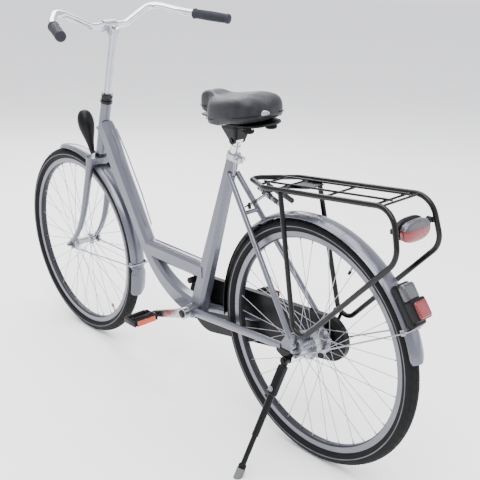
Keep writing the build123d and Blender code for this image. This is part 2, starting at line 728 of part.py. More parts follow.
# ---------------------------------------------------------------- stand bracket and leg
leg_way = Vector(*stand_foot) - Vector(*stand_pivot)
leg_unit = leg_way.normalized()
fold_axis = Vector(*stand_fold_axis).normalized()
pivot = Vector(*stand_pivot)
bracket_side = Plane(origin=(0, rear_dropout_outer + 0.1, 0), x_dir=(1, 0, 0), z_dir=(0, 1, 0))
with BuildPart() as stand_bracket:
    with BuildSketch(bracket_side) as plate:
        with Locations((stand_pivot_x - 4, -stand_pivot[2] - 12), (stand_pivot_x, -stand_pivot[2] + 4)):
            Circle(9)
        with Locations((stand_pivot_x + 40, -stand_pivot[2] - 14)):
            Circle(8)
        make_hull()
    extrude(plate.sketch, amount=3)
    rod(pivot - fold_axis * 10.5, pivot + fold_axis * 17, stand_pin_radius)
    rod(pivot + fold_axis * 13.6, pivot + fold_axis * 17, stand_pin_radius + 2)
    add(left_stays.part, mode=Mode.SUBTRACT)
keep("stand_bracket", stand_bracket.part.solids().sort_by(SortBy.VOLUME)[-1])

leg_end = Vector(*stand_foot) - leg_unit * 3
with BuildPart() as stand_leg:
    rod(pivot - fold_axis * 4, pivot + fold_axis * 13, 11)
    rod(pivot + leg_unit * 6, leg_end - leg_unit * 120, stand_leg_radius + 1.5)
    rod(pivot + leg_unit * 6, leg_end, stand_leg_radius - 0.5)
    rod(pivot - fold_axis * 20, pivot + fold_axis * 20, stand_pin_radius + running_fit, Mode.SUBTRACT)
keep("stand_leg", stand_leg.part)

lean_turn = radians(lean)
tyre_drop = (tyre_section / 2) * (1 - cos(lean_turn))
ground = Plane(origin=(0, 0, -tyre_drop), z_dir=(0, -sin(lean_turn), cos(lean_turn)))
with BuildPart() as stand_shoe:
    rod(leg_end - leg_unit * foot_length, leg_end + leg_unit * 30, foot_radius)
    rod(pivot, leg_end, stand_leg_radius - 0.5, Mode.SUBTRACT)
    split(bisect_by=ground, keep=Keep.TOP)
keep("stand_foot", stand_shoe.part)

# ---------------------------------------------------------------- fork
crown_low = head_tube_low - cup_height - 25
crown_high = head_tube_low - cup_height - gap
blade_top_y = 41.0
blade_low_y = fork_dropout_y + 1
blade_bend = 200.0
blade_tip = 16.0
blade_rake = fork_offset - 6.5
rake_radius = ((blade_bend - blade_tip) ** 2 + blade_rake**2) / (2 * blade_rake)


def blade_station(distance):
    """Centre and direction of a fork blade at a distance along the steering axis."""
    side = blade_top_y + (blade_low_y - blade_top_y) * (crown_low - distance) / (crown_low - blade_tip)
    if distance >= blade_bend:
        return on_steering(distance, 0, side), steer_up * -1
    along = blade_bend - distance
    back = sqrt(rake_radius**2 - along**2)
    way = steer_up * (-back / rake_radius) + steer_ahead * (along / rake_radius)
    return on_steering(distance, rake_radius - back, side), way


with BuildPart() as fork_side:
    blade_faces = []
    for distance, radius in [(crown_low + 6, 13), (300, 12.6), (blade_bend, 11.6), (130, 10.4), (70, 9.2),
                             (blade_tip, 8)]:
        centre, way = blade_station(distance)
        with BuildSketch(Plane(origin=centre, x_dir=(0, 1, 0), z_dir=way)) as blade_face:
            Circle(radius)
        blade_faces.append(blade_face.sketch)
    loft(blade_faces)
    tip_centre = blade_station(blade_tip)[0]
    fork_plate = Plane(origin=(0, fork_outer, 0), x_dir=(1, 0, 0), z_dir=(0, -1, 0))
    with BuildSketch(fork_plate) as fork_end:
        with Locations((wheelbase, wheel_radius)):
            Circle(12)
        with Locations((tip_centre.X, tip_centre.Z + 4)):
            Circle(9)
        with Locations((fork_eye[0], fork_eye[2])):
            Circle(6)
        make_hull()
    extrude(fork_end.sketch, amount=fork_dropout_thickness)
    disc(front_axle, axle_radius + running_fit, 0, 200, Mode.SUBTRACT)
    disc(front_axle, front_flange_radius + 3, 0, fork_dropout_y - gap, Mode.SUBTRACT)

steerer_top = head_tube_high + cup_height + 24
with BuildPart() as fork:
    add(fork_side.part)
    add(mirrored(fork_side.part))
    crown_plane = Plane(origin=on_steering(crown_low), x_dir=(0, 1, 0), z_dir=steer_up)
    with BuildSketch(crown_plane) as crown:
        with Locations((-blade_top_y, 0), (blade_top_y, 0)):
            Circle(15)
        Circle(21)
        make_hull()
    extrude(crown.sketch, amount=crown_high - crown_low)
    rod(on_steering(crown_low), on_steering(steerer_top), steerer_radius)
    rod(on_steering(crown_low - 5), on_steering(steerer_top + 5), quill_radius + running_fit, Mode.SUBTRACT)
keep("fork", fork.part)

with BuildPart() as headset_locknut:
    cone_low = head_tube_high + cup_height + gap
    rod(on_steering(cone_low), on_steering(cone_low + 9), head_tube_radius - 0.5)
    with BuildSketch(Plane(origin=on_steering(cone_low + 10), x_dir=(0, 1, 0), z_dir=steer_up)) as nut_face:
        RegularPolygon(head_tube_radius + 0.5, 6, major_radius=False)
        Circle(steerer_radius, mode=Mode.SUBTRACT)
    rod(on_steering(cone_low - 1), on_steering(steerer_top + 5), steerer_radius, Mode.SUBTRACT)
    extrude(nut_face.sketch, amount=11)
keep("headset_locknut", headset_locknut.part)
keep("front_axle", front_axle_set.part)

# ---------------------------------------------------------------- head lamp
head_lamp_low = on_steering(crown_low + 3, ahead=49)
head_lamp_high = on_steering(crown_low + 135, ahead=134)
head_lamp_way = (head_lamp_high - head_lamp_low).normalized()
head_lamp_length = (head_lamp_high - head_lamp_low).length
lamp_side_plane = Plane(origin=head_lamp_low, x_dir=(head_lamp_way.Z, 0, -head_lamp_way.X), z_dir=(0, -1, 0))
with BuildPart() as head_lamp_blank:
    with BuildSketch(lamp_side_plane) as drop:
        with BuildLine():
            shell = Spline((7, 0), (13, head_lamp_length * 0.25), (27, head_lamp_length * 0.6),
                           (27, head_lamp_length * 0.82), (0.0, head_lamp_length),
                           tangents=[(0.2, 1), (-1, 0)])
            Line(shell @ 1, (0, 0))
            Line((0, 0), shell @ 0)
        make_face()
    revolve(drop.sketch, axis=Axis(head_lamp_low, head_lamp_way), revolution_arc=360)
lamp_front = head_lamp_low + head_lamp_way * (head_lamp_length * 0.62) + Vector(12, 0, 0)
lamp_plane = Plane(origin=lamp_front, z_dir=(1, 0, -0.08))
with BuildPart() as head_lamp_lens:
    add(split(head_lamp_blank.part, bisect_by=lamp_plane, keep=Keep.TOP, mode=Mode.PRIVATE))
keep("head_lamp_lens", head_lamp_lens.part)
with BuildPart() as head_lamp_housing:
    add(split(head_lamp_blank.part, bisect_by=lamp_plane, keep=Keep.BOTTOM, mode=Mode.PRIVATE))
    rod(on_steering((crown_low + crown_high) / 2), head_lamp_low + head_lamp_way * 14, 6)
    add(fork.part, mode=Mode.SUBTRACT)
    rod(on_steering(crown_low - 30), on_steering(steerer_top), steerer_radius + 2, Mode.SUBTRACT)
keep("head_lamp_housing", head_lamp_housing.part.solids().sort_by(SortBy.VOLUME)[-1])

# ---------------------------------------------------------------- stem
quill_low = head_tube_low + 70
quill_bolt_radius = 4.0
bar_centre = on_steering(stem_height, stem_reach)
with BuildPart() as stem:
    rod(on_steering(quill_low), on_steering(stem_height - 6), quill_radius)
    rod(on_steering(stem_height - 26), on_steering(stem_height + 4), quill_radius + 3.5)
    with BuildSketch(Plane(origin=(0, 14, 0), x_dir=(1, 0, 0), z_dir=(0, -1, 0))) as neck:
        with Locations((on_steering(stem_height - 9).X, on_steering(stem_height - 9).Z)):
            Circle(12)
        with Locations((bar_centre.X, bar_centre.Z)):
            Circle(13)
        make_hull()
    extrude(neck.sketch, amount=28)
    disc(bar_centre, bar_clamp_radius + 5, -22, 22)
    disc(bar_centre, bar_clamp_radius + running_fit, -30, 30, Mode.SUBTRACT)
    rod(on_steering(quill_low - 5), on_steering(stem_height + 10), quill_bolt_radius + 0.6, Mode.SUBTRACT)
    rod(on_steering(stem_height + 4), on_steering(stem_height + 30), 8, Mode.SUBTRACT)
    wedge_plane = Plane(origin=on_steering(quill_low + 12), z_dir=steer_up + steer_ahead * 0.9)
    split(bisect_by=wedge_plane, keep=Keep.TOP)
keep("stem", stem.part)

with BuildPart() as wedge_blank:
    rod(on_steering(quill_low - 14), on_steering(quill_low + 40), quill_radius - 0.3)
with BuildPart() as stem_expander:
    add(split(wedge_blank.part, bisect_by=wedge_plane, keep=Keep.BOTTOM, mode=Mode.PRIVATE))
    rod(on_steering(quill_low - 10), on_steering(stem_height + 9), quill_bolt_radius)
    rod(on_steering(stem_height + 4), on_steering(stem_height + 10), 6.5)
keep("stem_expander", stem_expander.part)

# ---------------------------------------------------------------- handlebar and grips
bar_side = [
    (bar_centre.X, 0, bar_centre.Z),
    (bar_centre.X, 62, bar_centre.Z),
    (bar_centre.X + 14, 178, bar_centre.Z + 56),
    (bar_centre.X - 70, 243, bar_centre.Z + 29),
    (bar_centre.X - 230, 306, bar_centre.Z + 7),
]
bar_bends = [52, 50, 120]
bar_points = [(x, -y, z) for x, y, z in reversed(bar_side[1:])] + bar_side[1:]
with BuildPart() as handlebar:
    wire_rod(bar_points, list(reversed(bar_bends)) + bar_bends, bar_radius)
    disc(bar_side[0], bar_clamp_radius, -32, 32)
keep("handlebar", handlebar.part)

bar_end = Vector(*bar_side[-1])
grip_way = (Vector(*bar_side[-2]) - bar_end).normalized()
with BuildPart() as left_grip:
    rod(bar_end - grip_way * 4, bar_end + grip_way * grip_length, grip_radius)
    fillet(left_grip.edges().filter_by(GeomType.CIRCLE), 3)
    rod(bar_end, bar_end + grip_way * (grip_length + 5), bar_radius, Mode.SUBTRACT)
keep("left_grip", left_grip.part)
with BuildPart() as right_grip:
    add(mirrored(left_grip.part))
keep("right_grip", right_grip.part)

# ---------------------------------------------------------------- wheels


def rim_ring(axle):
    """The rim: two side walls, a bed for the spokes and a well for the tyre's beads."""
    half = rim_width / 2
    bed_half = half - rim_bed_inset
    side_foot = rim_outer_radius - rim_side_depth
    well_floor = rim_outer_radius - rim_well_depth
    seat = rim_outer_radius - tyre_sink
    with BuildSketch(ring_profile(axle, 0)) as section:
        with BuildLine():
            Polyline(
                (rim_outer_radius, -half), (side_foot, -half), (rim_bed_radius, -bed_half),
                (rim_bed_radius, bed_half), (side_foot, half), (rim_outer_radius, half),
                (rim_outer_radius, half - rim_wall), (seat, half - rim_wall), (well_floor, bed_half),
                (well_floor, -bed_half), (seat, -half + rim_wall), (rim_outer_radius, -half + rim_wall),
                close=True,
            )
        make_face()
    revolve(section.sketch, axis=wheel_axis(axle), revolution_arc=360)


def tyre_ring(axle):
    """The tyre: an open carcass whose beads sit between the rim's walls."""
    outer = tyre_section / 2
    bead_half = rim_width / 2 - rim_wall - 0.1
    bead_foot = rim_outer_radius - tyre_sink + 0.2
    shoulder = rim_outer_radius + 0.4
    outer_half = sqrt(outer**2 - (tyre_centre_radius - shoulder) ** 2)
    bead_inner = bead_half - bead_thickness
    crown = wheel_radius - tyre_wall
    with BuildSketch(ring_profile(axle, 0)) as section:
        with BuildLine():
            ThreePointArc((shoulder, -outer_half), (wheel_radius, 0), (shoulder, outer_half))
            Polyline((shoulder, outer_half), (shoulder, bead_half), (bead_foot, bead_half),
                     (bead_foot, bead_inner), (shoulder + 3, bead_inner + 2))
            ThreePointArc((shoulder + 3, bead_inner + 2), (crown, 0), (shoulder + 3, -bead_inner - 2))
            Polyline((shoulder + 3, -bead_inner - 2), (bead_foot, -bead_inner),
                     (bead_foot, -bead_half), (shoulder, -bead_half), (shoulder, -outer_half))
        make_face()
    revolve(section.sketch, axis=wheel_axis(axle), revolution_arc=360)


def hub_shell(axle, body, flange, offset, half):
    """The hub: a barrel with two flanges and a bearing seat at each end."""
    disc(axle, body, -offset, offset)
    for side in (-1, 1):
        disc(axle, flange, side * (offset - flange_thickness), side * offset)
        disc(axle, hub_seat_radius, side * (offset - 1), side * (half - 4))
    disc(axle, axle_radius + 3 + running_fit, -half, half, Mode.SUBTRACT)


def spoke_set(axle, flange, offset):
    """Crossed spokes: half from each flange, leading and trailing in turn."""
    hole = flange - 4
    rim_end = rim_bed_radius + 0.5
    for number in range(spoke_count):
        side = 1 if number % 2 else -1
        lead = 1 if (number // 2) % 2 else -1
        rim_turn = radians(360.0 / spoke_count * number)
        hub_turn = rim_turn + lead * radians(spoke_lead)
        outside = offset - flange_thickness / 2 + lead * (flange_thickness / 2 + spoke_radius + 0.1)
        start = (axle[0] + hole * cos(hub_turn), side * outside, axle[2] + hole * sin(hub_turn))
        end = (axle[0] + rim_end * cos(rim_turn), side * 2.5, axle[2] + rim_end * sin(rim_turn))
        rod(start, end, spoke_radius)


wheel_sets = [
    ("front", front_axle, front_hub_radius, front_flange_radius, front_flange_offset, front_hub_half),
    ("rear", rear_axle, rear_hub_radius, rear_flange_radius, rear_flange_offset, rear_hub_half),
]
for wheel, axle, body, flange, offset, half in wheel_sets:
    with BuildPart() as rim:
        rim_ring(axle)
    keep(f"{wheel}_rim", rim.part)
    with BuildPart() as tyre:
        tyre_ring(axle)
    keep(f"{wheel}_tyre", tyre.part)
    with BuildPart() as hub:
        hub_shell(axle, body, flange, offset, half)
    keep(f"{wheel}_hub", hub.part)
    with BuildPart() as spokes:
        spoke_set(axle, flange, offset)
        add(rim.part, mode=Mode.SUBTRACT)
        add(hub.part, mode=Mode.SUBTRACT)
    keep(f"{wheel}_spokes", spokes.part)

# ---------------------------------------------------------------- rear sprocket


def toothed_disc(centre, radius, teeth, bore):
    """A chain wheel: a flat disc with notches between its teeth."""
    face = Plane(origin=(centre[0], -chain_line + sprocket_thickness / 2, centre[2]), z_dir=(0, -1, 0))
    with BuildSketch(face) as blank:
        Circle(radius + 3)
        with PolarLocations(radius, teeth):
            Circle(4.0, mode=Mode.SUBTRACT)
        Circle(bore, mode=Mode.SUBTRACT)
    extrude(blank.sketch, amount=sprocket_thickness)


with BuildPart() as rear_sprocket:
    toothed_disc(rear_axle, sprocket_radius, sprocket_teeth, hub_seat_radius + 1)
    disc(rear_axle, hub_seat_radius + 4, -rear_flange_offset - 1 - gap, -chain_line - 3)
    disc(rear_axle, hub_seat_radius + running_fit, -rear_flange_offset, -rear_hub_half, Mode.SUBTRACT)
keep("rear_sprocket", rear_sprocket.part)

# ---------------------------------------------------------------- cranks
crank_way = Vector(cos(radians(crank_angle)), 0, -sin(radians(crank_angle)))
crank_outer = crank_inner + crank_thickness
left_pedal_centre = Vector(*bracket) + crank_way * crank_length
right_pedal_centre = Vector(*bracket) - crank_way * crank_length
with BuildPart() as crank_spindle:
    disc(bracket, spindle_radius, -crank_outer - right_shift, crank_outer)
    disc(bracket, spindle_radius + 6, bearing_face + 4 + gap, crank_inner)
keep("crank_spindle", crank_spindle.part)


def crank_arm(side, pedal_centre, inner, outer):
    """One crank arm with its boss at the spindle and its eye at the pedal."""
    plane = Plane(origin=(0, side * inner, 0), x_dir=(1, 0, 0), z_dir=(0, -1, 0))
    with BuildSketch(plane) as arm:
        with Locations((bracket_x, bracket_z)):
            Circle(15)
        with Locations((pedal_centre.X, pedal_centre.Z)):
            Circle(10.5)
        make_hull()
    extrude(arm.sketch, amount=-side * (outer - inner))
    disc(bracket, 18.5, side * (inner - 1), side * (outer + 3))
    disc(bracket, spindle_radius, -200, 200, Mode.SUBTRACT)
    disc(pedal_centre, 6.5, side * (inner - 5), side * (outer + 5), Mode.SUBTRACT)


with BuildPart() as left_crank:
    crank_arm(1, left_pedal_centre, crank_inner + 1, crank_outer)
keep("left_crank", left_crank.part)
with BuildPart() as right_crank:
    crank_arm(-1, right_pedal_centre, crank_inner + right_shift, crank_outer + right_shift)
keep("right_crank", right_crank.part)

with BuildPart() as chainring:
    toothed_disc(bracket, chainring_radius, chainring_teeth, chainring_radius - 28)
    ring_plane = Plane(origin=(bracket_x, -chain_line + sprocket_thickness / 2, bracket_z), z_dir=(0, -1, 0))
    with BuildSketch(ring_plane) as spider:
        Circle(16)
        with PolarLocations(34, 5):
            Rectangle(40, 13)
        Circle(spindle_radius, mode=Mode.SUBTRACT)
    extrude(spider.sketch, amount=sprocket_thickness)
    disc(bracket, 14, -chain_line - 1, -crank_inner - right_shift + 1)
    disc(bracket, spindle_radius, -200, 200, Mode.SUBTRACT)
keep("chainring", chainring.part)

# ---------------------------------------------------------------- pedals
with BuildPart() as pedal_spindles:
    for side, centre, outer in [(1, left_pedal_centre, crank_outer),
                                (-1, right_pedal_centre, crank_outer + right_shift)]:
        disc(centre, 6.5, side * (outer - crank_thickness + 1), side * (outer + 3))
        disc(centre, pedal_axle_radius, side * (outer + 2), side * (outer + pedal_gap + pedal_length - 5))
keep("pedal_spindles", pedal_spindles.part)


def pedal_body(side, centre, outer):
    """A block pedal: a barrel on the spindle, two treads and two end plates."""
    near = outer + pedal_gap
    far = near + pedal_length
    middle = (near + far) / 2
    disc(centre, 10, side * near, side * far)
    for end in (near + 3, far - 3):
        with Locations((centre.X, side * end, centre.Z)):
            Box(pedal_depth - 6, 6, pedal_height - 4)
    for edge in (-1, 1):
        with Locations((centre.X + edge * (pedal_depth / 2 - 9), side * middle, centre.Z)):
            Box(18, pedal_length, pedal_height)
    disc(centre, pedal_axle_radius + running_fit, side * (near - 5), side * (far - 3), Mode.SUBTRACT)


with BuildPart() as left_pedal:
    pedal_body(1, left_pedal_centre, crank_outer)
keep("left_pedal", left_pedal.part)
with BuildPart() as right_pedal:
    pedal_body(-1, right_pedal_centre, crank_outer + right_shift)
keep("right_pedal", right_pedal.part)

# ---------------------------------------------------------------- seat post and saddle
clamp_at = seat_tube_length + saddle_clamp_rise
post_top = on_seat_tube(clamp_at)
post_head_radius = 11.0
post_head_half = 13.0
clamp_bolt_radius = 4.0
with BuildPart() as seatpost:
    rod(on_seat_tube(post_sleeve_foot + 33), on_seat_tube(clamp_at - 18), seat_post_radius)
    rod(on_seat_tube(clamp_at - 18), on_seat_tube(clamp_at - 6), post_head_half - 1.9)
    disc(post_top, post_head_radius, -post_head_half, post_head_half)
    disc(post_top, clamp_bolt_radius + running_fit, -20, 20, Mode.SUBTRACT)
keep("seatpost", seatpost.part)

saddle_nose_x = post_top.X + saddle_nose_reach
saddle_rear_x = post_top.X - saddle_rear_reach
saddle_top_z = post_top.Z + saddle_top_rise
rail_height = post_top.Z + saddle_skirt_rise - 18
with BuildPart() as saddle_clamp:
    with BuildSketch(Plane.XY.offset(rail_height - 8)) as clamp_top:
        with Locations((post_top.X + 4, 0)):
            RectangleRounded(66, 62, 10)
    with BuildSketch(Plane.XY.offset(post_top.Z + 2)) as clamp_waist:
        with Locations((post_top.X, 0)):
            RectangleRounded(36, 44, 8)
    loft([clamp_top.sketch, clamp_waist.sketch])
    with BuildSketch(Plane.XY.offset(rail_height - 8)) as rail_seat:
        with Locations((post_top.X + 4, 0)):
            RectangleRounded(66, 62, 10)
    extrude(rail_seat.sketch, amount=8)
    for side in (-1, 1):
        disc(post_top, 12, side * (post_head_half + gap), side * 21)
    disc(post_top, post_head_radius + 1.2, -post_head_half - gap, post_head_half + gap, Mode.SUBTRACT)
    with BuildSketch(Plane(origin=post_top, x_dir=(0, 1, 0), z_dir=seat_up * -1)) as post_way:
        Rectangle(2 * (post_head_half + gap), 30)
    extrude(post_way.sketch, amount=30, mode=Mode.SUBTRACT)
    disc(post_top, clamp_bolt_radius, -24, 24)
    for side in (-1, 1):
        disc(post_top, 6.5, side * 21, side * 25)
keep("saddle_clamp", saddle_clamp.part.solids().sort_by(SortBy.VOLUME)[-1])

rail_half = 22.0
rail_radius = 3.4
rail_z = rail_height + 3.5
base_low = rail_z + rail_radius + 3
base_thickness = 5.0
with BuildPart() as saddle_rails:
    for side in (-1, 1):
        rail_points = [
            (saddle_rear_x + 40, side * (rail_half + 24), base_low + 1),
            (saddle_rear_x + 74, side * rail_half, rail_z),
            (post_top.X + 56, side * rail_half, rail_z),
            (saddle_nose_x - 48, side * 9, base_low + 1),
        ]
        wire_rod(rail_points, [24, 24], rail_radius)
    add(saddle_clamp.part, mode=Mode.SUBTRACT)
keep("saddle_rails", saddle_rails.part)

spring_x = saddle_rear_x + 60
spring_y = 60.0
with BuildPart() as saddle_base:
    with BuildSketch(Plane.XY.offset(base_low)) as base_plan:
        with Locations((saddle_nose_x - 30, 0)):
            Circle(16)
        for side in (-1, 1):
            with Locations((saddle_rear_x + 84, side * 72)):
                Circle(24)
            with Locations((saddle_rear_x + 44, side * 54)):
                Circle(28)
        make_hull()
    extrude(base_plan.sketch, amount=base_thickness)
    for side in (-1, 1):
        rod((spring_x, side * spring_y, base_low - 14), (spring_x, side * spring_y, base_low + 1), 15)
    add(saddle_rails.part, mode=Mode.SUBTRACT)
keep("saddle_base", saddle_base.part.solids().sort_by(SortBy.VOLUME)[-1])

# stations of the padded cover from its nose to its rear: place, half width and top
cushion_low = base_low + base_thickness + gap
cushion_stations = [
    (0.0, 17.0, -30.0),
    (0.06, 28.0, -20.0),
    (0.22, 37.0, -15.0),
    (0.38, 55.0, -11.0),
    (0.54, 92.0, -5.0),
    (0.72, saddle_half_width, 0.0),
    (0.9, 97.0, -4.0),
    (1.0, 70.0, -16.0),
]
with BuildPart() as saddle_cushion:
    cushion_faces = []
    for share, half, drop in cushion_stations:
        height = saddle_top_z + drop - cushion_low
        centre = (saddle_nose_x - share * (saddle_nose_x - saddle_rear_x), 0, cushion_low + height / 2)
        with BuildSketch(Plane(origin=centre, x_dir=(0, 1, 0), z_dir=(1, 0, 0))) as cushion_face:
            RectangleRounded(2 * half, height, min(half, height / 2) * 0.6)
        cushion_faces.append(cushion_face.sketch)
    loft(cushion_faces)
keep("saddle_cushion", saddle_cushion.part)

# ---------------------------------------------------------------- stance and export
tipped = Location((0, 0, tyre_drop)) * Location((0, 0, 0), (1, 0, 0), -lean)
box = pieces[0].moved(tipped).bounding_box()
for piece in pieces[1:]:
    box = box.add(piece.moved(tipped).bounding_box())
placed = Location((-(box.min.X + box.max.X) / 2, -(box.min.Y + box.max.Y) / 2, 0)) * tipped
print("origin shift", -(box.min.X + box.max.X) / 2, -(box.min.Y + box.max.Y) / 2, "box", box)

for piece in pieces:
    export_step(piece.moved(placed), f"parts/{piece.label}.step")
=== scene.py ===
"""A low-step city bicycle leaning on its side stand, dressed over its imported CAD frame.

Pieces are drawn in the bicycle's own upright frame, in millimetres (x forward, y to its left, z up
from the ground under the rear axle), and put into the row's frame, in metres, by place().
"""
import json
import math

import bmesh
import bpy
import numpy as np
from mathutils import Matrix, Vector


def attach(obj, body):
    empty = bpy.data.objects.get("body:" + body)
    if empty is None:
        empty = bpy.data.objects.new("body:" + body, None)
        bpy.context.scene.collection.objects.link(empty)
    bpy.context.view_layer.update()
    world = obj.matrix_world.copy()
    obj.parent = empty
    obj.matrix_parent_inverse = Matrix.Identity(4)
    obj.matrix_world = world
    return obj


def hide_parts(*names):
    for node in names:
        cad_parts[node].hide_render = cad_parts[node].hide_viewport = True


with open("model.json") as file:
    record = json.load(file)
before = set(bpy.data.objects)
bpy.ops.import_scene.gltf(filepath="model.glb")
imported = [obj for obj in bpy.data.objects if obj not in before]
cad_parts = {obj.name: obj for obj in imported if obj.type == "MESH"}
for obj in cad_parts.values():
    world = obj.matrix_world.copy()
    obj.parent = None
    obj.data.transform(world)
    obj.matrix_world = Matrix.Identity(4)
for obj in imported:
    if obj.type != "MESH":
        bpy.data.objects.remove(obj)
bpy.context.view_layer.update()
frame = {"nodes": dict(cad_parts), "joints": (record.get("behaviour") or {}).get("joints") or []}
nodes = frame["nodes"]
joints = {joint["name"]: joint for joint in frame["joints"]}

# ---------------------------------------------------------------- the bicycle's own frame
MM = 0.001
ARC_STEP = 9.0               # degrees between the points of a bent rod
WHEEL_RADIUS = 353.5
REAR_AXLE = Vector(joints["rear_wheel_spin"]["pos_m"])
FRONT_AXLE = Vector(joints["front_wheel_spin"]["pos_m"])
AHEAD = Vector((1, 0, 0))
LEFT = Vector(joints["rear_wheel_spin"]["axis"])
UP = AHEAD.cross(LEFT)


def place(x, y, z):
    """A point of the bicycle's own frame, in millimetres, as a point of the row's frame, in metres."""
    return REAR_AXLE + (AHEAD * x + LEFT * y + UP * (z - WHEEL_RADIUS)) * MM


def local(point):
    """The reverse of place()."""
    offset = (Vector(point) - REAR_AXLE) / MM
    return Vector((offset.dot(AHEAD), offset.dot(LEFT), offset.dot(UP) + WHEEL_RADIUS))


def heading(x, y, z):
    """A direction of the bicycle's own frame in the row's frame."""
    return (AHEAD * x + LEFT * y + UP * z).normalized()


BRACKET = local(joints["crank_turn"]["pos_m"])
LEFT_PEDAL = local(joints["left_pedal_turn"]["pos_m"])
RIGHT_PEDAL = local(joints["right_pedal_turn"]["pos_m"])
STAND_PIVOT = local(joints["stand_fold"]["pos_m"])
BAR_CLAMP = local(joints["bar_tilt"]["pos_m"])


# ---------------------------------------------------------------- gathering meshes
class Shape:
    """Vertices and faces gathered for one piece, each face with the number of its material."""

    def __init__(self):
        self.verts = []
        self.faces = []
        self.kinds = []

    def add(self, mesh, kind=0):
        verts, faces = mesh
        base = len(self.verts)
        self.verts.extend(tuple(v) for v in verts)
        self.faces.extend(tuple(index + base for index in face) for face in faces)
        if isinstance(kind, int):
            kind = [kind] * len(faces)
        self.kinds.extend(kind)

    def finish(self, name, body, materials, replaces=(), sharp=40):
        mesh = bpy.data.meshes.new(name)
        mesh.from_pydata(self.verts, [], self.faces)
        for material in materials:
            mesh.materials.append(material)
        mesh.polygons.foreach_set("material_index", self.kinds)
        mesh.polygons.foreach_set("use_smooth", [True] * len(self.faces))
        mesh.set_sharp_from_angle(angle=math.radians(sharp))
        mesh.update()
        piece = bpy.data.objects.new(name, mesh)
        bpy.context.scene.collection.objects.link(piece)
        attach(piece, body)
        if replaces:
            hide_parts(*replaces)
        return piece


def across_to(direction):
    """Two unit vectors across a direction."""
    direction = direction.normalized()
    helper = UP if abs(direction.dot(UP)) < 0.9 else AHEAD
    first = direction.cross(helper).normalized()
    return first, direction.cross(first)


def turned(profile, centre, axis, steps=32):
    """A turned shape: profile is (radius, height along the axis) in millimetres."""
    first, second = across_to(axis)
    axis = axis.normalized()
    verts = []
    for step in range(steps):
        turn = 2 * math.pi * step / steps
        out = first * math.cos(turn) + second * math.sin(turn)
        verts.extend(centre + (out * r + axis * h) * MM for r, h in profile)
    count = len(profile)
    faces = []
    for step in range(steps):
        here = step * count
        there = (step + 1) % steps * count
        faces.extend((here + k, here + k + 1, there + k + 1, there + k) for k in range(count - 1))
    faces.append(tuple(step * count for step in range(steps)))
    faces.append(tuple((steps - 1 - step) * count + count - 1 for step in range(steps)))
    return verts, faces


def wheel_ring(profile, axle, start=0.0, end=360.0, steps=180, shape=None):
    """A ring about a wheel's axle: profile is closed, (radius, across) in millimetres.

    shape(angle, radius, across) may return another (radius, across) for a point.
    """
    full = end - start >= 360.0
    verts = []
    columns = steps if full else steps + 1
    for step in range(columns):
        angle = start + (end - start) * step / steps
        turn = math.radians(angle)
        out = AHEAD * math.cos(turn) + UP * math.sin(turn)
        for radius, side in profile:
            if shape:
                radius, side = shape(angle, radius, side)
            verts.append(axle + (out * radius + LEFT * side) * MM)
    count = len(profile)
    faces = []
    for step in range(steps):
        here = step * count
        there = (step + 1) % columns * count
        for k in range(count):
            n = (k + 1) % count
            faces.append((here + k, there + k, there + n, here + n))
    if not full:
        faces.append(tuple(range(count)))
        faces.append(tuple(steps * count + k for k in reversed(range(count))))
    return verts, faces


def rounded(points, radii):
    """The points of a bent rod: straight runs joined by arcs of the radii, one for each corner."""
    path = [Vector(points[0])]
    for before, corner, after, radius in zip(points, points[1:], points[2:], radii):
        corner = Vector(corner)
        into = (Vector(before) - corner).normalized()
        out = (Vector(after) - corner).normalized()
        half = into.angle(out) / 2
        bisector = (into + out).normalized()
        centre = corner + bisector * (radius / math.sin(half))
        reach = radius / math.tan(half)
        arm_start = corner + into * reach - centre
        arm_end = corner + out * reach - centre
        turn = arm_start.angle(arm_end)
        steps = max(2, round(math.degrees(turn) / ARC_STEP))
        for step in range(steps + 1):
            share = step / steps
            arm = arm_start * math.sin((1 - share) * turn) + arm_end * math.sin(share * turn)
            path.append(centre + arm / math.sin(turn))
    path.append(Vector(points[-1]))
    return path


def rod(points, radius, sides=16):
    """A round bar along points in the bicycle's frame."""
    path = [place(*point) for point in points]
    count = len(path)
    verts = []
    previous = None
    for index, point in enumerate(path):
        ahead = path[min(index + 1, count - 1)] - path[max(index - 1, 0)]
        ahead.normalize()
        if previous is None:
            first, _ = across_to(ahead)
        else:
            first = (previous - ahead * previous.dot(ahead)).normalized()
        previous = first
        second = ahead.cross(first)
        for side in range(sides):
            turn = 2 * math.pi * side / sides
            out = first * math.cos(turn) + second * math.sin(turn)
            verts.append(point + out * (radius * MM))
    faces = []
    for index in range(count - 1):
        for side in range(sides):
            n = (side + 1) % sides
            faces.append(
                (index * sides + side, index * sides + n, (index + 1) * sides + n, (index + 1) * sides + side)
            )
    faces.append(tuple(reversed(range(sides))))
    faces.append(tuple((count - 1) * sides + side for side in range(sides)))
    return verts, faces


def block(centre, size, bevel=1.5, along=None, over=None, segments=3):
    """A block with rounded edges, at a centre in the bicycle's frame, its sides along given directions."""
    along = along or AHEAD
    over = over or UP
    side = over.cross(along).normalized()
    over = along.cross(side).normalized()
    build = bmesh.new()
    bmesh.ops.create_cube(build, size=1.0)
    bmesh.ops.scale(build, vec=Vector(size) * MM, verts=build.verts)
    bmesh.ops.bevel(
        build, geom=list(build.edges), offset=bevel * MM, segments=segments, profile=0.5, affect="EDGES"
    )
    turn = Matrix((along, side, over)).transposed()
    verts = [turn @ v.co + place(*centre) for v in build.verts]
    faces = [tuple(v.index for v in face.verts) for face in build.faces]
    build.free()
    return verts, faces


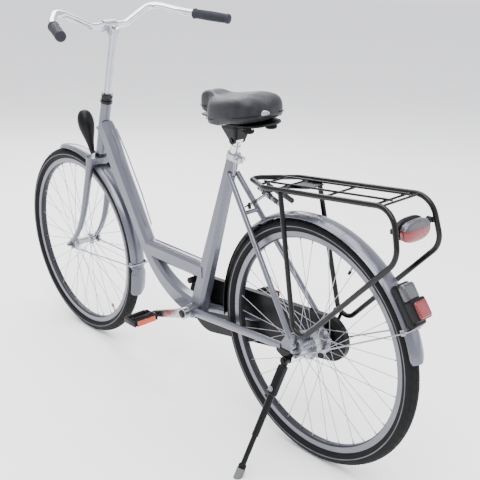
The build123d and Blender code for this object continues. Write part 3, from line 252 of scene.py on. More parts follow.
# ---------------------------------------------------------------- materials
def linear(code):
    """A #rrggbb sRGB colour as linear values."""
    channels = [int(code[k:k + 2], 16) / 255 for k in (1, 3, 5)]
    return [c / 12.92 if c <= 0.04045 else ((c + 0.055) / 1.055) ** 2.4 for c in channels] + [1.0]


def per_mm(size):
    """The scale that gives a texture a feature of a size in millimetres."""
    return 1000.0 / size


def add(tree, kind, sockets, **settings):
    """Adds a node: settings are its properties, sockets its inputs' values or the outputs they come from."""
    node = tree.nodes.new(kind)
    for key, value in settings.items():
        setattr(node, key, value)
    for key, value in sockets.items():
        if isinstance(value, bpy.types.NodeSocket):
            tree.links.new(value, node.inputs[key])
        else:
            code = isinstance(value, str) and value.startswith("#")
            node.inputs[key].default_value = linear(value) if code else value
    return node


def start_material(name, **surface):
    """A material with its Principled shader set; gives it, its tree, the shader and Object coordinates."""
    material = bpy.data.materials.new(name)
    material.use_nodes = True
    tree = material.node_tree
    shader = tree.nodes["Principled BSDF"]
    for key, value in surface.items():
        shader.inputs[key.replace("_", " ")].default_value = value
    coords = add(tree, "ShaderNodeTexCoord", {}).outputs["Object"]
    return material, tree, shader, coords


def dress(tree, shader, colour, roughness, normal):
    """Gives the shader its colour, its roughness (where it varies) and its bumps."""
    for name, output in (("Base Color", colour), ("Roughness", roughness), ("Normal", normal)):
        if output:
            tree.links.new(output, shader.inputs[name])


def silver_paint():
    """Sprayed silver metallic paint under clear lacquer: fine bright flakes in a cool grey."""
    material, tree, shader, coords = start_material(
        "sprayed_silver_metallic_paint", **{"Metallic": 0.62, "Coat_Weight": 0.6, "Coat_Roughness": 0.10}
    )
    clouds = add(tree, "ShaderNodeTexNoise", {"Vector": coords, "Scale": per_mm(160), "Detail": 3.0})
    # flakes are far under a millimetre; they are drawn at 0.9 mm so that they show
    flakes = add(tree, "ShaderNodeTexVoronoi", {"Vector": coords, "Scale": per_mm(0.9)})
    base = add(tree, "ShaderNodeMix", {0: clouds.outputs[0], 6: PAINT_DARK, 7: PAINT_LIGHT}, data_type="RGBA")
    bright = add(
        tree, "ShaderNodeMapRange", {"Value": flakes.outputs["Distance"], 1: 0.05, 2: 0.45, 3: 0.4, 4: 0.0}
    )
    mixed = add(
        tree, "ShaderNodeMix", {0: bright.outputs[0], 6: base.outputs[2], 7: PAINT_FLAKE}, data_type="RGBA"
    )
    orange_peel = add(tree, "ShaderNodeTexNoise", {"Vector": coords, "Scale": per_mm(2.2), "Detail": 2.0})
    dust = add(tree, "ShaderNodeMapRange", {"Value": clouds.outputs[0], 1: 0.35, 2: 0.65, 3: 0.27, 4: 0.38})
    bump = add(tree, "ShaderNodeBump", {"Height": orange_peel.outputs[0], "Distance": 0.00004})
    dress(tree, shader, mixed.outputs[2], dust.outputs[0], bump.outputs[0])
    return material


def black_coat(name, dark, light, roughness, gloss):
    """Stoved black enamel or powder coat: a deep black with a fine ripple and faint dust."""
    material, tree, shader, coords = start_material(
        name, **{"Specular_IOR_Level": 0.16, "Coat_Weight": gloss, "Coat_Roughness": 0.12}
    )
    dust = add(tree, "ShaderNodeTexNoise", {"Vector": coords, "Scale": per_mm(40), "Detail": 6.0})
    shade = add(tree, "ShaderNodeMix", {0: dust.outputs[0], 6: dark, 7: light}, data_type="RGBA")
    spread = add(
        tree, "ShaderNodeMapRange",
        {"Value": dust.outputs[0], 1: 0.3, 2: 0.7, 3: roughness, 4: roughness + 0.16},
    )
    ripple = add(tree, "ShaderNodeTexNoise", {"Vector": coords, "Scale": per_mm(1.6), "Detail": 3.0})
    bump = add(tree, "ShaderNodeBump", {"Height": ripple.outputs[0], "Distance": 0.00005})
    dress(tree, shader, shade.outputs[2], spread.outputs[0], bump.outputs[0])
    return material


def bare_metal(name, dark, light, roughness, grain=(1, 1, 1), grain_mm=0.8):
    """Plated, polished or brushed metal: its grain runs the way that it is stretched."""
    material, tree, shader, coords = start_material(name, **{"Metallic": 1.0})
    smears = add(tree, "ShaderNodeTexNoise", {"Vector": coords, "Scale": per_mm(30), "Detail": 5.0})
    shade = add(tree, "ShaderNodeMix", {0: smears.outputs[0], 6: dark, 7: light}, data_type="RGBA")
    spread = add(
        tree, "ShaderNodeMapRange",
        {"Value": smears.outputs[0], 1: 0.3, 2: 0.7, 3: roughness, 4: roughness + 0.12},
    )
    stretched = add(tree, "ShaderNodeMapping", {"Vector": coords, "Scale": grain})
    lines = add(tree, "ShaderNodeTexNoise", {"Vector": stretched.outputs[0], "Scale": per_mm(grain_mm)})
    bump = add(tree, "ShaderNodeBump", {"Height": lines.outputs[0], "Distance": 0.00002})
    dress(tree, shader, shade.outputs[2], spread.outputs[0], bump.outputs[0])
    return material


def moulded(name, dark, light, roughness, grain_mm, depth):
    """Moulded rubber or plastic: a matt grain from the mould and a little pale dust in noisy patches."""
    material, tree, shader, coords = start_material(name, **{"Specular_IOR_Level": 0.18})
    dust = add(
        tree, "ShaderNodeTexNoise", {"Vector": coords, "Scale": per_mm(55), "Detail": 7.0, "Roughness": 0.6}
    )
    settled = add(tree, "ShaderNodeMapRange", {"Value": dust.outputs[0], 1: 0.42, 2: 0.75, 3: 0.0, 4: 1.0})
    shade = add(tree, "ShaderNodeMix", {0: settled.outputs[0], 6: dark, 7: light}, data_type="RGBA")
    spread = add(
        tree, "ShaderNodeMapRange",
        {"Value": dust.outputs[0], 1: 0.3, 2: 0.7, 3: roughness, 4: roughness + 0.18},
    )
    grain = add(tree, "ShaderNodeTexVoronoi", {"Vector": coords, "Scale": per_mm(grain_mm)})
    bump = add(tree, "ShaderNodeBump", {"Height": grain.outputs["Distance"], "Distance": depth})
    dress(tree, shader, shade.outputs[2], spread.outputs[0], bump.outputs[0])
    return material


def machined_rim():
    """Turned aluminium brake track: fine rings about the axle."""
    material, tree, shader, coords = start_material("turned_aluminium_rim", **{"Metallic": 0.85})
    smears = add(tree, "ShaderNodeTexNoise", {"Vector": coords, "Scale": per_mm(70), "Detail": 4.0})
    shade = add(tree, "ShaderNodeMix", {0: smears.outputs[0], 6: "#5f6067", 7: "#808188"}, data_type="RGBA")
    rings = add(
        tree, "ShaderNodeTexWave", {"Vector": coords, "Scale": per_mm(6), "Distortion": 0.5},
        wave_type="RINGS", rings_direction="Y",
    )
    spread = add(tree, "ShaderNodeMapRange", {"Value": smears.outputs[0], 1: 0.3, 2: 0.7, 3: 0.26, 4: 0.42})
    bump = add(tree, "ShaderNodeBump", {"Height": rings.outputs["Fac"], "Distance": 0.00001})
    dress(tree, shader, shade.outputs[2], spread.outputs[0], bump.outputs[0])
    return material


def saddle_vinyl():
    """Embossed vinyl over foam: a leather-like pebble grain, with a painted highlight that lightens it where
    it faces up.
    """
    material, tree, shader, coords = start_material(
        "embossed_saddle_vinyl",
        **{"Sheen_Weight": 0.08, "Sheen_Roughness": 0.4, "Specular_IOR_Level": 0.25, "Coat_Weight": 0.03},
    )
    # painted highlight: the body colour goes lighter where the surface faces up, standing in for the light
    # from above
    facing = add(tree, "ShaderNodeNewGeometry", {}).outputs["Normal"]
    height = add(tree, "ShaderNodeSeparateXYZ", {"Vector": facing}).outputs["Z"]
    top = add(tree, "ShaderNodeMapRange", {"Value": height, 1: 0.2, 2: 0.95, 3: 0.0, 4: 1.0})
    body = add(tree, "ShaderNodeMix", {0: top.outputs[0], 6: "#0d0e12", 7: "#1d1e25"}, data_type="RGBA")
    scuffs = add(tree, "ShaderNodeTexNoise", {"Vector": coords, "Scale": per_mm(24), "Detail": 6.0})
    worn = add(tree, "ShaderNodeMapRange", {"Value": scuffs.outputs[0], 1: 0.45, 2: 0.75, 3: 0.0, 4: 0.35})
    shade = add(
        tree, "ShaderNodeMix", {0: worn.outputs[0], 6: body.outputs[2], 7: "#30313b"}, data_type="RGBA"
    )
    spread = add(tree, "ShaderNodeMapRange", {"Value": scuffs.outputs[0], 1: 0.3, 2: 0.7, 3: 0.38, 4: 0.54})
    # the pebbles of the grain are about 1 mm; they are drawn at 1.6 mm so that they show
    pebbles = add(
        tree, "ShaderNodeTexVoronoi", {"Vector": coords, "Scale": per_mm(1.6)}, feature="DISTANCE_TO_EDGE"
    )
    raised = add(
        tree, "ShaderNodeMapRange", {"Value": pebbles.outputs["Distance"], 1: 0.0, 2: 0.12, 3: 0.0, 4: 1.0}
    )
    soft = add(tree, "ShaderNodeTexNoise", {"Vector": coords, "Scale": per_mm(45)})
    creases = add(tree, "ShaderNodeBump", {"Height": soft.outputs[0], "Distance": 0.0006})
    grain = add(
        tree, "ShaderNodeBump",
        {"Height": raised.outputs[0], "Distance": 0.00009, "Normal": creases.outputs[0]},
    )
    dress(tree, shader, shade.outputs[2], spread.outputs[0], grain.outputs[0])
    return material


def acrylic_lens(name, dark, light, clear=0.0):
    """Moulded acrylic: small corner prisms behind a smooth glossy face."""
    material, tree, shader, coords = start_material(
        name, **{"Roughness": 0.12, "IOR": 1.49, "Transmission_Weight": clear, "Coat_Weight": 0.4}
    )
    prisms = add(tree, "ShaderNodeTexVoronoi", {"Vector": coords, "Scale": per_mm(3.2)}, distance="MANHATTAN")
    depth = add(
        tree, "ShaderNodeMapRange", {"Value": prisms.outputs["Distance"], 1: 0.1, 2: 0.8, 3: 0.0, 4: 1.0}
    )
    shade = add(tree, "ShaderNodeMix", {0: depth.outputs[0], 6: dark, 7: light}, data_type="RGBA")
    ribs = add(tree, "ShaderNodeTexWave", {"Vector": coords, "Scale": per_mm(14)}, bands_direction="Y")
    lines = add(tree, "ShaderNodeBump", {"Height": ribs.outputs["Fac"], "Distance": 0.0002})
    bump = add(
        tree, "ShaderNodeBump",
        {"Height": prisms.outputs["Distance"], "Distance": 0.0003, "Normal": lines.outputs[0]},
    )
    dress(tree, shader, shade.outputs[2], None, bump.outputs[0])
    return material


def studio_paper():
    """Seamless white paper: matt, with the faintest unevenness."""
    material, tree, shader, coords = start_material(
        "seamless_white_paper", **{"Roughness": 0.9, "Specular_IOR_Level": 0.1}
    )
    clouds = add(tree, "ShaderNodeTexNoise", {"Vector": coords, "Scale": per_mm(700)})
    shade = add(tree, "ShaderNodeMix", {0: clouds.outputs[0], 6: "#f8f8f9", 7: "#fbfbfb"}, data_type="RGBA")
    dress(tree, shader, shade.outputs[2], None, None)
    return material


PAINT_DARK = "#4b4c57"
PAINT_LIGHT = "#5d5e69"
PAINT_FLAKE = "#9a9ba6"
PAINT = silver_paint()
ENAMEL = black_coat("stoved_gloss_black_enamel", "#020203", "#060608", 0.22, 0.2)
SATIN = black_coat("satin_black_powder_coat", "#030304", "#09090b", 0.34, 0.05)
# painted shade: the rim's bed is silver metal, coloured near black here to copy how it looks in shade
RIM_BED = black_coat("rim_bed_painted_shade", "#1b1b20", "#2a2a31", 0.32, 0.1)
CHROME = bare_metal("polished_chrome_plate", "#b9bac0", "#dcdde1", 0.07)
ALLOY = bare_metal("polished_aluminium", "#95969d", "#bdbec4", 0.20, grain=(1, 14, 1))
ZINC = bare_metal("zinc_plated_steel", "#6f7077", "#9b9ca2", 0.30)
STAINLESS = bare_metal("drawn_stainless_spoke_steel", "#7b7c82", "#b0b1b7", 0.24)
CHAIN_STEEL = bare_metal("oiled_chain_steel", "#3e3a36", "#5d5853", 0.40)
BADGE = bare_metal("satin_grey_badge_foil", "#8e8f99", "#a9aab3", 0.36)
RIM = machined_rim()
TREAD = moulded("vulcanised_black_rubber", "#060607", "#121214", 0.62, 1.2, 0.00008)
STRIP = moulded("glass_bead_reflective_strip", "#4d4e54", "#6a6b71", 0.42, 1.0, 0.00004)
GRIP = moulded("dark_grey_grip_rubber", "#26272d", "#34353c", 0.52, 0.9, 0.00006)
BLACK_RUBBER = moulded("black_moulded_rubber", "#050506", "#0d0d0f", 0.55, 1.0, 0.00005)
PLASTIC = moulded("black_abs_plastic", "#030304", "#08080a", 0.30, 0.8, 0.00003)
VINYL = saddle_vinyl()
RED_LENS = acrylic_lens("red_acrylic_lens", "#3a0206", "#7a070e")
GREY_LENS = acrylic_lens("smoked_acrylic_lens", "#17171a", "#3b3c41")
CLEAR_LENS = acrylic_lens("clear_polycarbonate_lens", "#a9acb0", "#d7dadd", 0.6)
AMBER_LENS = acrylic_lens("amber_acrylic_reflector", "#8f2406", "#c8460f")

NODE_MATERIALS = [
    (PAINT, "head_tube main_tube bridge_tube seat_tube left_stays right_stays fork"),
    (ENAMEL, "rack_frame rack_platform rack_strap headset_cups headset_locknut"),
    (SATIN, "chain_case_inner chain_case_outer stand_leg stand_bracket"),
    (PLASTIC, "saddle_clamp head_lamp_housing"),
    (CHROME, "handlebar seatpost saddle_rails"),
    (ALLOY, "stem left_crank right_crank seat_clamp front_hub rear_hub"),
    (ZINC, "rear_axle front_axle stem_expander crank_spindle pedal_spindles bottom_bracket_cups"),
    (STAINLESS, "front_spokes rear_spokes rear_mudguard_stays front_mudguard_stays"),
    (CHAIN_STEEL, "chain chainring rear_sprocket"),
    (CLEAR_LENS, "head_lamp_lens"),
]
for material, names in NODE_MATERIALS:
    for name in names.split():
        mesh = nodes[name].data
        mesh.materials.clear()
        mesh.materials.append(material)


# ---------------------------------------------------------------- repeated small parts
def stamp_tree():
    """Geometry Nodes: sets one stamp on every point, turned to the point's two directions and scaled."""
    tree = bpy.data.node_groups.new("stamp_on_points", "GeometryNodeTree")
    tree.interface.new_socket("Points", in_out="INPUT", socket_type="NodeSocketGeometry")
    tree.interface.new_socket("Stamp", in_out="INPUT", socket_type="NodeSocketObject")
    tree.interface.new_socket("Material", in_out="INPUT", socket_type="NodeSocketMaterial")
    tree.interface.new_socket("Result", in_out="OUTPUT", socket_type="NodeSocketGeometry")
    given = add(tree, "NodeGroupInput", {})
    facing = add(tree, "GeometryNodeInputNamedAttribute", {"Name": "facing"}, data_type="FLOAT_VECTOR")
    along = add(tree, "GeometryNodeInputNamedAttribute", {"Name": "along"}, data_type="FLOAT_VECTOR")
    size = add(tree, "GeometryNodeInputNamedAttribute", {"Name": "size"}, data_type="FLOAT_VECTOR")
    raised = add(tree, "FunctionNodeAlignRotationToVector", {"Vector": facing.outputs[0]}, axis="Z")
    turned_to = add(
        tree, "FunctionNodeAlignRotationToVector",
        {"Rotation": raised.outputs[0], "Vector": along.outputs[0]}, axis="X", pivot_axis="Z",
    )
    stamp = add(tree, "GeometryNodeObjectInfo", {"Object": given.outputs["Stamp"]})
    placed = add(
        tree, "GeometryNodeInstanceOnPoints",
        {"Points": given.outputs["Points"], "Instance": stamp.outputs["Geometry"],
         "Rotation": turned_to.outputs[0], "Scale": size.outputs[0]},
    )
    real = add(tree, "GeometryNodeRealizeInstances", {"Geometry": placed.outputs[0]})
    dressed = add(
        tree, "GeometryNodeSetMaterial", {"Geometry": real.outputs[0], "Material": given.outputs["Material"]}
    )
    add(tree, "NodeGroupOutput", {"Result": dressed.outputs[0]})
    return tree


STAMP_TREE = stamp_tree()


def stamp_object(name, mesh):
    """A stamp, drawn in millimetres about the origin with +Z away from what it sits on."""
    verts, faces = mesh
    data = bpy.data.meshes.new(name)
    data.from_pydata([tuple(v) for v in verts], [], faces)
    data.polygons.foreach_set("use_smooth", [True] * len(faces))
    data.set_sharp_from_angle(angle=math.radians(35))
    return bpy.data.objects.new(name, data)


def stamped(name, body, stamp, spots, material):
    """Repeats a stamp at spots: each is (place in the row's frame, facing, along, size)."""
    data = bpy.data.meshes.new(name)
    data.from_pydata([tuple(spot[0]) for spot in spots], [], [])
    for column, label in ((1, "facing"), (2, "along"), (3, "size")):
        layer = data.attributes.new(label, "FLOAT_VECTOR", "POINT")
        values = []
        for spot in spots:
            value = spot[column]
            values.extend([value * MM] * 3 if isinstance(value, (int, float)) else tuple(value))
        layer.data.foreach_set("vector", values)
    piece = bpy.data.objects.new(name, data)
    bpy.context.scene.collection.objects.link(piece)
    modifier = piece.modifiers.new("Stamps", "NODES")
    modifier.node_group = STAMP_TREE
    for socket in STAMP_TREE.interface.items_tree:
        if socket.name == "Stamp":
            modifier[socket.identifier] = stamp
        if socket.name == "Material":
            modifier[socket.identifier] = material
    depsgraph = bpy.context.evaluated_depsgraph_get()
    piece.data = bpy.data.meshes.new_from_object(piece.evaluated_get(depsgraph))
    piece.modifiers.clear()
    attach(piece, body)


def turned_stamp(name, profile, steps=16):
    """A turned stamp from (radius, height) points in millimetres."""
    verts = []
    for step in range(steps):
        turn = 2 * math.pi * step / steps
        verts.extend((r * math.cos(turn), r * math.sin(turn), h) for r, h in profile)
    count = len(profile)
    faces = []
    for step in range(steps):
        here, there = step * count, (step + 1) % steps * count
        faces.extend((here + k, there + k, there + k + 1, here + k + 1) for k in range(count - 1))
    faces.append(tuple((steps - 1 - step) * count for step in range(steps)))
    faces.append(tuple(step * count + count - 1 for step in range(steps)))
    return stamp_object(name, (verts, faces))


def rib_mesh(length, width, height, chamfer):
    """A bar with a chamfered top, in millimetres, standing on z = 0."""
    levels = [(0.0, 0.0), (height - chamfer, 0.0), (height, chamfer)]
    verts = []
    for z, inset in levels:
        x, y = length / 2 - inset, width / 2 - inset
        verts.extend([(-x, -y, z), (x, -y, z), (x, y, z), (-x, y, z)])
    faces = [(3, 2, 1, 0), (8, 9, 10, 11)]
    for level in (0, 4):
        for k in range(4):
            n = (k + 1) % 4
            faces.append((level + k, level + n, level + 4 + n, level + 4 + k))
    return verts, faces


# the hexagon head and the washer are 1 mm in half width; a spot's size scales them
HEX_HEAD = turned_stamp(
    "hex_head", [(0.9, 0), (1.0, 0.1), (1.0, 0.66), (0.86, 0.8), (0.3, 0.8), (0.25, 0.66)], steps=6
)
WASHER = turned_stamp("washer", [(1.0, 0), (1.0, 0.12), (0.94, 0.18), (0.5, 0.18)], steps=24)
NIPPLE = turned_stamp("spoke_nipple", [(2.1, -2), (2.1, 3.0), (1.9, 3.6), (1.7, 9.5), (1.3, 11.0)], steps=8)
SPOKE_HEAD = turned_stamp(
    "spoke_head", [(1.1, -3.0), (1.1, 0.4), (1.9, 0.8), (1.6, 1.7), (0.4, 2.1)], steps=10
)


def bolts(name, body, spots):
    """Hexagon bolts with washers: each spot is (place, direction, half width of its head)."""
    lifted = []
    washers = []
    for point, direction, half in spots:
        side = across_to(direction)[0]
        washers.append((point, direction, side, half * 1.5))
        lifted.append((point + direction * (half * 0.27 * MM), direction, side, half))
    stamped(f"{name}_washers", body, WASHER, washers, ZINC)
    stamped(f"{name}_heads", body, HEX_HEAD, lifted, ZINC)


# ---------------------------------------------------------------- wheels
TYRE_CENTRE = 331.5
TYRE_SECTION = 22.0
RIM_LIP = 316.5
RIM_SHOULDER = 299.5
RIM_BED_RADIUS = 296.0
TREAD_EDGE = 52.0            # degrees round the section where the tread ends
TREAD_PITCHES = 76


def tread_depth(angle, around):
    """How deep the tread is cut, in millimetres, at an angle round the wheel and round the section."""
    offset = abs(around)
    if offset > TREAD_EDGE:
        return 0.0
    if 11.0 < offset < 15.0:
        return 1.3
    pitch = angle * TREAD_PITCHES / 360.0
    lean_share = offset / TREAD_EDGE * 0.8
    if offset <= 11.0:
        notch = (pitch + (0.5 if around > 0 else 0.0)) % 1.0
        return 1.0 if offset > 5.0 and notch < 0.22 else 0.0
    groove = (pitch + lean_share + (0.5 if around > 0 else 0.0)) % 1.0
    if offset > 38.0:
        return 1.4 if groove < 0.34 else 0.1
    return 1.3 if groove < 0.20 else 0.0


def make_tyre(wheel, axle):
    """A tyre with cut tread blocks, moulded lines and a reflective strip on each side wall."""
    around = list(np.arange(-136.0, 136.1, 4.0))
    count = len(around)
    steps = 608
    verts = []
    for step in range(steps):
        angle = 360.0 * step / steps
        turn = math.radians(angle)
        out = AHEAD * math.cos(turn) + UP * math.sin(turn)
        for a in around:
            radius = TYRE_SECTION - 0.05 - tread_depth(angle, a)
            if 62 < abs(a) < 66 or 112 < abs(a) < 115:
                radius -= 0.5
            spin = math.radians(a)
            flatten = 1.0 if abs(a) < 100 else 1.0 - 0.10 * (abs(a) - 100) / 36
            up, across = radius * math.cos(spin), radius * math.sin(spin) * flatten
            verts.append(axle + (out * (TYRE_CENTRE + up) + LEFT * across) * MM)
    faces = []
    kinds = []
    for step in range(steps):
        here = step * count
        there = (step + 1) % steps * count
        for k in range(count - 1):
            faces.append((here + k, there + k, there + k + 1, here + k + 1))
            middle = abs(around[k] + around[k + 1]) / 2
            kinds.append(1 if 89 < middle < 97 else 0)
    shape = Shape()
    shape.add((verts, faces), kinds)
    shape.finish(f"{wheel}_tyre_tread", f"{wheel}_wheel", [TREAD, STRIP], [f"{wheel}_tyre"], sharp=50)


def make_rim(wheel, axle):
    """A box rim with rounded lips and a bed coloured near black as painted shade."""
    half = 12.5
    side = [(RIM_LIP, half), (RIM_LIP - 0.8, half + 0.3), (RIM_SHOULDER + 12, half + 0.3),
            (RIM_SHOULDER + 11, half), (RIM_SHOULDER + 2, half), (RIM_SHOULDER, half - 0.8)]
    bed = [(RIM_BED_RADIUS + 0.6, 7.6), (RIM_BED_RADIUS, 6.0)]
    half_profile = side + bed
    inner = [(RIM_LIP - 9, half - 4.5), (RIM_LIP - 1.5, half - 2.0)]
    mirrored = [(r, -y) for r, y in reversed(half_profile)]
    inner_mirrored = [(r, -y) for r, y in reversed(inner)]
    profile = half_profile + mirrored + inner_mirrored + inner
    mesh = wheel_ring(profile, axle, steps=240)
    bed_edges = range(len(side) - 1, len(side) + 2 * len(bed))
    kinds = [1 if index % len(profile) in bed_edges else 0 for index in range(len(mesh[1]))]
    shape = Shape()
    shape.add(mesh, kinds)
    shape.finish(f"{wheel}_rim_section", f"{wheel}_wheel", [RIM, RIM_BED], [f"{wheel}_rim"])


def make_nipples(wheel, axle, hub_hole, flange_offset):
    """Spoke nipples at the rim and spoke heads at the hub."""
    count = 36
    spoke_lead = math.radians(52)
    nipples = []
    heads = []
    for number in range(count):
        side = 1 if number % 2 else -1
        lead = 1 if (number // 2) % 2 else -1
        rim_turn = 2 * math.pi * number / count
        hub_turn = rim_turn + lead * spoke_lead
        outside = side * (flange_offset - 1.5 + lead * 2.6)
        rim_out = AHEAD * math.cos(rim_turn) + UP * math.sin(rim_turn)
        hub_out = AHEAD * math.cos(hub_turn) + UP * math.sin(hub_turn)
        rim_point = axle + (rim_out * (RIM_BED_RADIUS + 1) + LEFT * (side * 2.5)) * MM
        hub_point = axle + (hub_out * hub_hole + LEFT * outside) * MM
        run = (hub_point - rim_point).normalized()
        nipples.append((rim_point, run, LEFT, 1.0))
        heads.append((hub_point, LEFT * (side * lead), hub_out, 1.0))
    stamped(f"{wheel}_spoke_nipples", f"{wheel}_wheel", NIPPLE, nipples, ZINC)
    stamped(f"{wheel}_spoke_heads", f"{wheel}_wheel", SPOKE_HEAD, heads, STAINLESS)


def make_valve(wheel, axle, angle):
    """The tyre's valve: stem, lock ring and cap, pointing to the hub."""
    turn = math.radians(angle)
    out = AHEAD * math.cos(turn) + UP * math.sin(turn)
    root = axle + out * ((RIM_BED_RADIUS + 2) * MM)
    shape = Shape()
    shape.add(turned([(3.2, -3), (3.2, 12), (3.0, 12.4), (3.0, 22)], root, -out, 16), 0)
    shape.add(turned([(5.0, 2.6), (5.4, 3.2), (5.4, 5.0), (5.0, 5.6)], root, -out, 6), 0)
    cap = [(3.9, 20), (4.2, 21), (4.2, 30)]
    cap += [(4.2 * math.cos(t), 30 + 3.5 * math.sin(t)) for t in (0.5, 1.0, 1.4)]
    shape.add(turned(cap, root, -out, 12), 1)
    shape.finish(f"{wheel}_valve", f"{wheel}_wheel", [ZINC, BLACK_RUBBER])


# wheel, axle, radius of the flange's spoke holes, half the flanges' distance
WHEELS = [("front", FRONT_AXLE, 17.0, 32.0), ("rear", REAR_AXLE, 37.0, 29.0)]
for wheel, axle, hub_hole, flange_offset in WHEELS:
    make_tyre(wheel, axle)
    make_rim(wheel, axle)
    make_nipples(wheel, axle, hub_hole, flange_offset)
make_valve("front", FRONT_AXLE, 232)
make_valve("rear", REAR_AXLE, 118)


# ---------------------------------------------------------------- mudguards
GUARD_RADIUS = 368.0
GUARD_HALF = 28.0


def guard_profile(half, radius, crown=11.0, wall=1.4, bead=1.7):
    """A closed mudguard section: a crowned strip with a rolled bead along each edge."""
    outer = []
    steps = 14
    for step in range(steps + 1):
        y = -half + 2 * half * step / steps
        outer.append((radius - crown * abs(y / half) ** 2.2, y))
    right_edge = [(radius - crown - bead * math.sin(t), half + 0.2 - bead * (1 - math.cos(t)))
                  for t in (0.6, 1.4, 2.2, 3.0)]
    inner = [(r - wall, y * (half - wall) / half) for r, y in reversed(outer)]
    left_edge = [(r, -y) for r, y in reversed(right_edge)]
    return outer + right_edge + inner[1:-1] + left_edge


def rounded_end(start, end, reach=4.0):
    """Narrows a mudguard towards both of its ends."""
    def shape(angle, radius, side):
        near = min(angle - start, end - angle)
        if near >= reach:
            return radius, side
        share = 1 - near / reach
        return radius, side * (1 - 0.30 * share**3)
    return shape


def make_guard(
    name, body, axle, start, end, material, replaces, half=GUARD_HALF, radius=GUARD_RADIUS, ends=True
):
    """A mudguard's blade between two angles about its wheel's axle."""
    shape = Shape()
    bend = rounded_end(start, end) if ends else None
    steps = max(12, round((end - start) / 1.5))
    shape.add(wheel_ring(guard_profile(half, radius), axle, start, end, steps, bend))
    shape.finish(name, body, [material], replaces)


make_guard("rear_mudguard_blade", "frame", REAR_AXLE, 48.4, 169.3, PAINT, ["rear_mudguard"])
make_guard("rear_mudguard_tail_front", "frame", REAR_AXLE, -4, 51, PLASTIC, ["rear_mudguard_front"],
           half=24.5, radius=365.8, ends=False)
make_guard("front_mudguard_blade", "fork", FRONT_AXLE, 78, 184, PAINT, ["front_mudguard"])
make_guard("front_mudguard_flap_blade", "fork", FRONT_AXLE, 182.2, 198.8, PAINT, ["front_mudguard_flap"],
           half=29.6, radius=369.8)


def guard_clips(name, body, axle, angle):
    """The small brackets that hold a wire stay to a mudguard's edges."""
    turn = math.radians(angle)
    out = AHEAD * math.cos(turn) + UP * math.sin(turn)
    along = UP * math.cos(turn) - AHEAD * math.sin(turn)
    shape = Shape()
    seats = []
    for side in (-1, 1):
        edge = axle + (out * (GUARD_RADIUS - 12) + LEFT * (side * GUARD_HALF)) * MM
        shape.add(block(local(edge + LEFT * (side * 1.5 * MM)), (15, 3.0, 13), 1.0, along=along, over=out))
        seats.append((edge + LEFT * (side * 3.0 * MM), LEFT * side, 3.4))
    shape.finish(name, body, [STAINLESS])
    bolts(f"{name}_bolt", body, seats)


guard_clips("rear_guard_clips", "frame", REAR_AXLE, 155.5)
guard_clips("front_guard_clips", "fork", FRONT_AXLE, 179.5)


# ---------------------------------------------------------------- frame trim
def make_frame_trim():
    """Pressed ribs along the main tube and the bridge tube, and the rubber grommet under the bridge."""
    ribs = Shape()
    for side in (-9, 9):
        ribs.add(rod([(926, side, 815), (872, side, 737), (800, side, 612), (757, side, 515)], 2.0, 10), 0)
        ribs.add(rod([(738, side, 469.5), (600, side, 466.5), (480, side, 464.5)], 1.2, 8), 0)
    ribs.finish("frame_pressed_ribs", "frame", [PAINT])
    grommet = Shape()
    profile = [(3, -26), (9, -26), (10, -24), (10, 24), (9, 26), (3, 26)]
    grommet.add(turned(profile, place(520, 0, 392), LEFT, 24))
    grommet.finish("window_grommet", "frame", [BLACK_RUBBER])


make_frame_trim()


# ---------------------------------------------------------------- grips
def make_grip(side):
    """A moulded grip: fine rings along it, a collar at its inner end and a rounded closed end."""
    end = place(678, side * 306, 1161)
    inner = place(838, side * 243, 1183)
    along = (inner - end).normalized()
    profile = [(0.5, -7.0), (9.0, -6.6), (14.0, -5.0), (16.2, -2.0), (16.4, 4.0), (15.6, 7.0)]
    length = 131.0
    rings = 26
    for ring in range(rings):
        pitch = (length - 22.0) / rings
        start = 8.0 + ring * pitch
        swell = 14.2 + 0.9 * math.sin(math.pi * ring / (rings - 1))
        profile += [(swell, start), (swell + 0.9, start + pitch * 0.25), (swell + 0.9, start + pitch * 0.7),
                    (swell, start + pitch * 0.9)]
    profile += [(15.6, length - 12), (17.2, length - 10), (17.2, length - 5), (15.8, length - 3)]
    profile.append((11.3, length - 2.6))
    shape = Shape()
    shape.add(turned(profile, end, along, 36))
    name = "left" if side > 0 else "right"
    shape.finish(f"{name}_grip_sleeve", "bar", [GRIP], [f"{name}_grip"], sharp=35)


make_grip(1)
make_grip(-1)


# ---------------------------------------------------------------- stem trim
def make_stem_trim():
    """The clamp's pinch bolt under the bar."""
    low = (BAR_CLAMP.x + 14, BAR_CLAMP.z - 13)
    shape = Shape()
    shape.add(rod([(low[0], -16, low[1]), (low[0], 16, low[1])], 6.2, 20))
    shape.finish("stem_pinch_boss", "stem", [ALLOY])
    bolts("stem_bolt", "stem", [(place(low[0], side * 16, low[1]), LEFT * side, 4.2) for side in (-1, 1)])


make_stem_trim()


# ---------------------------------------------------------------- pedals
RIB_COUNT = 9
TREAD_RIB = stamp_object("tread_rib", rib_mesh(16.0, 4.6, 2.2, 0.8))


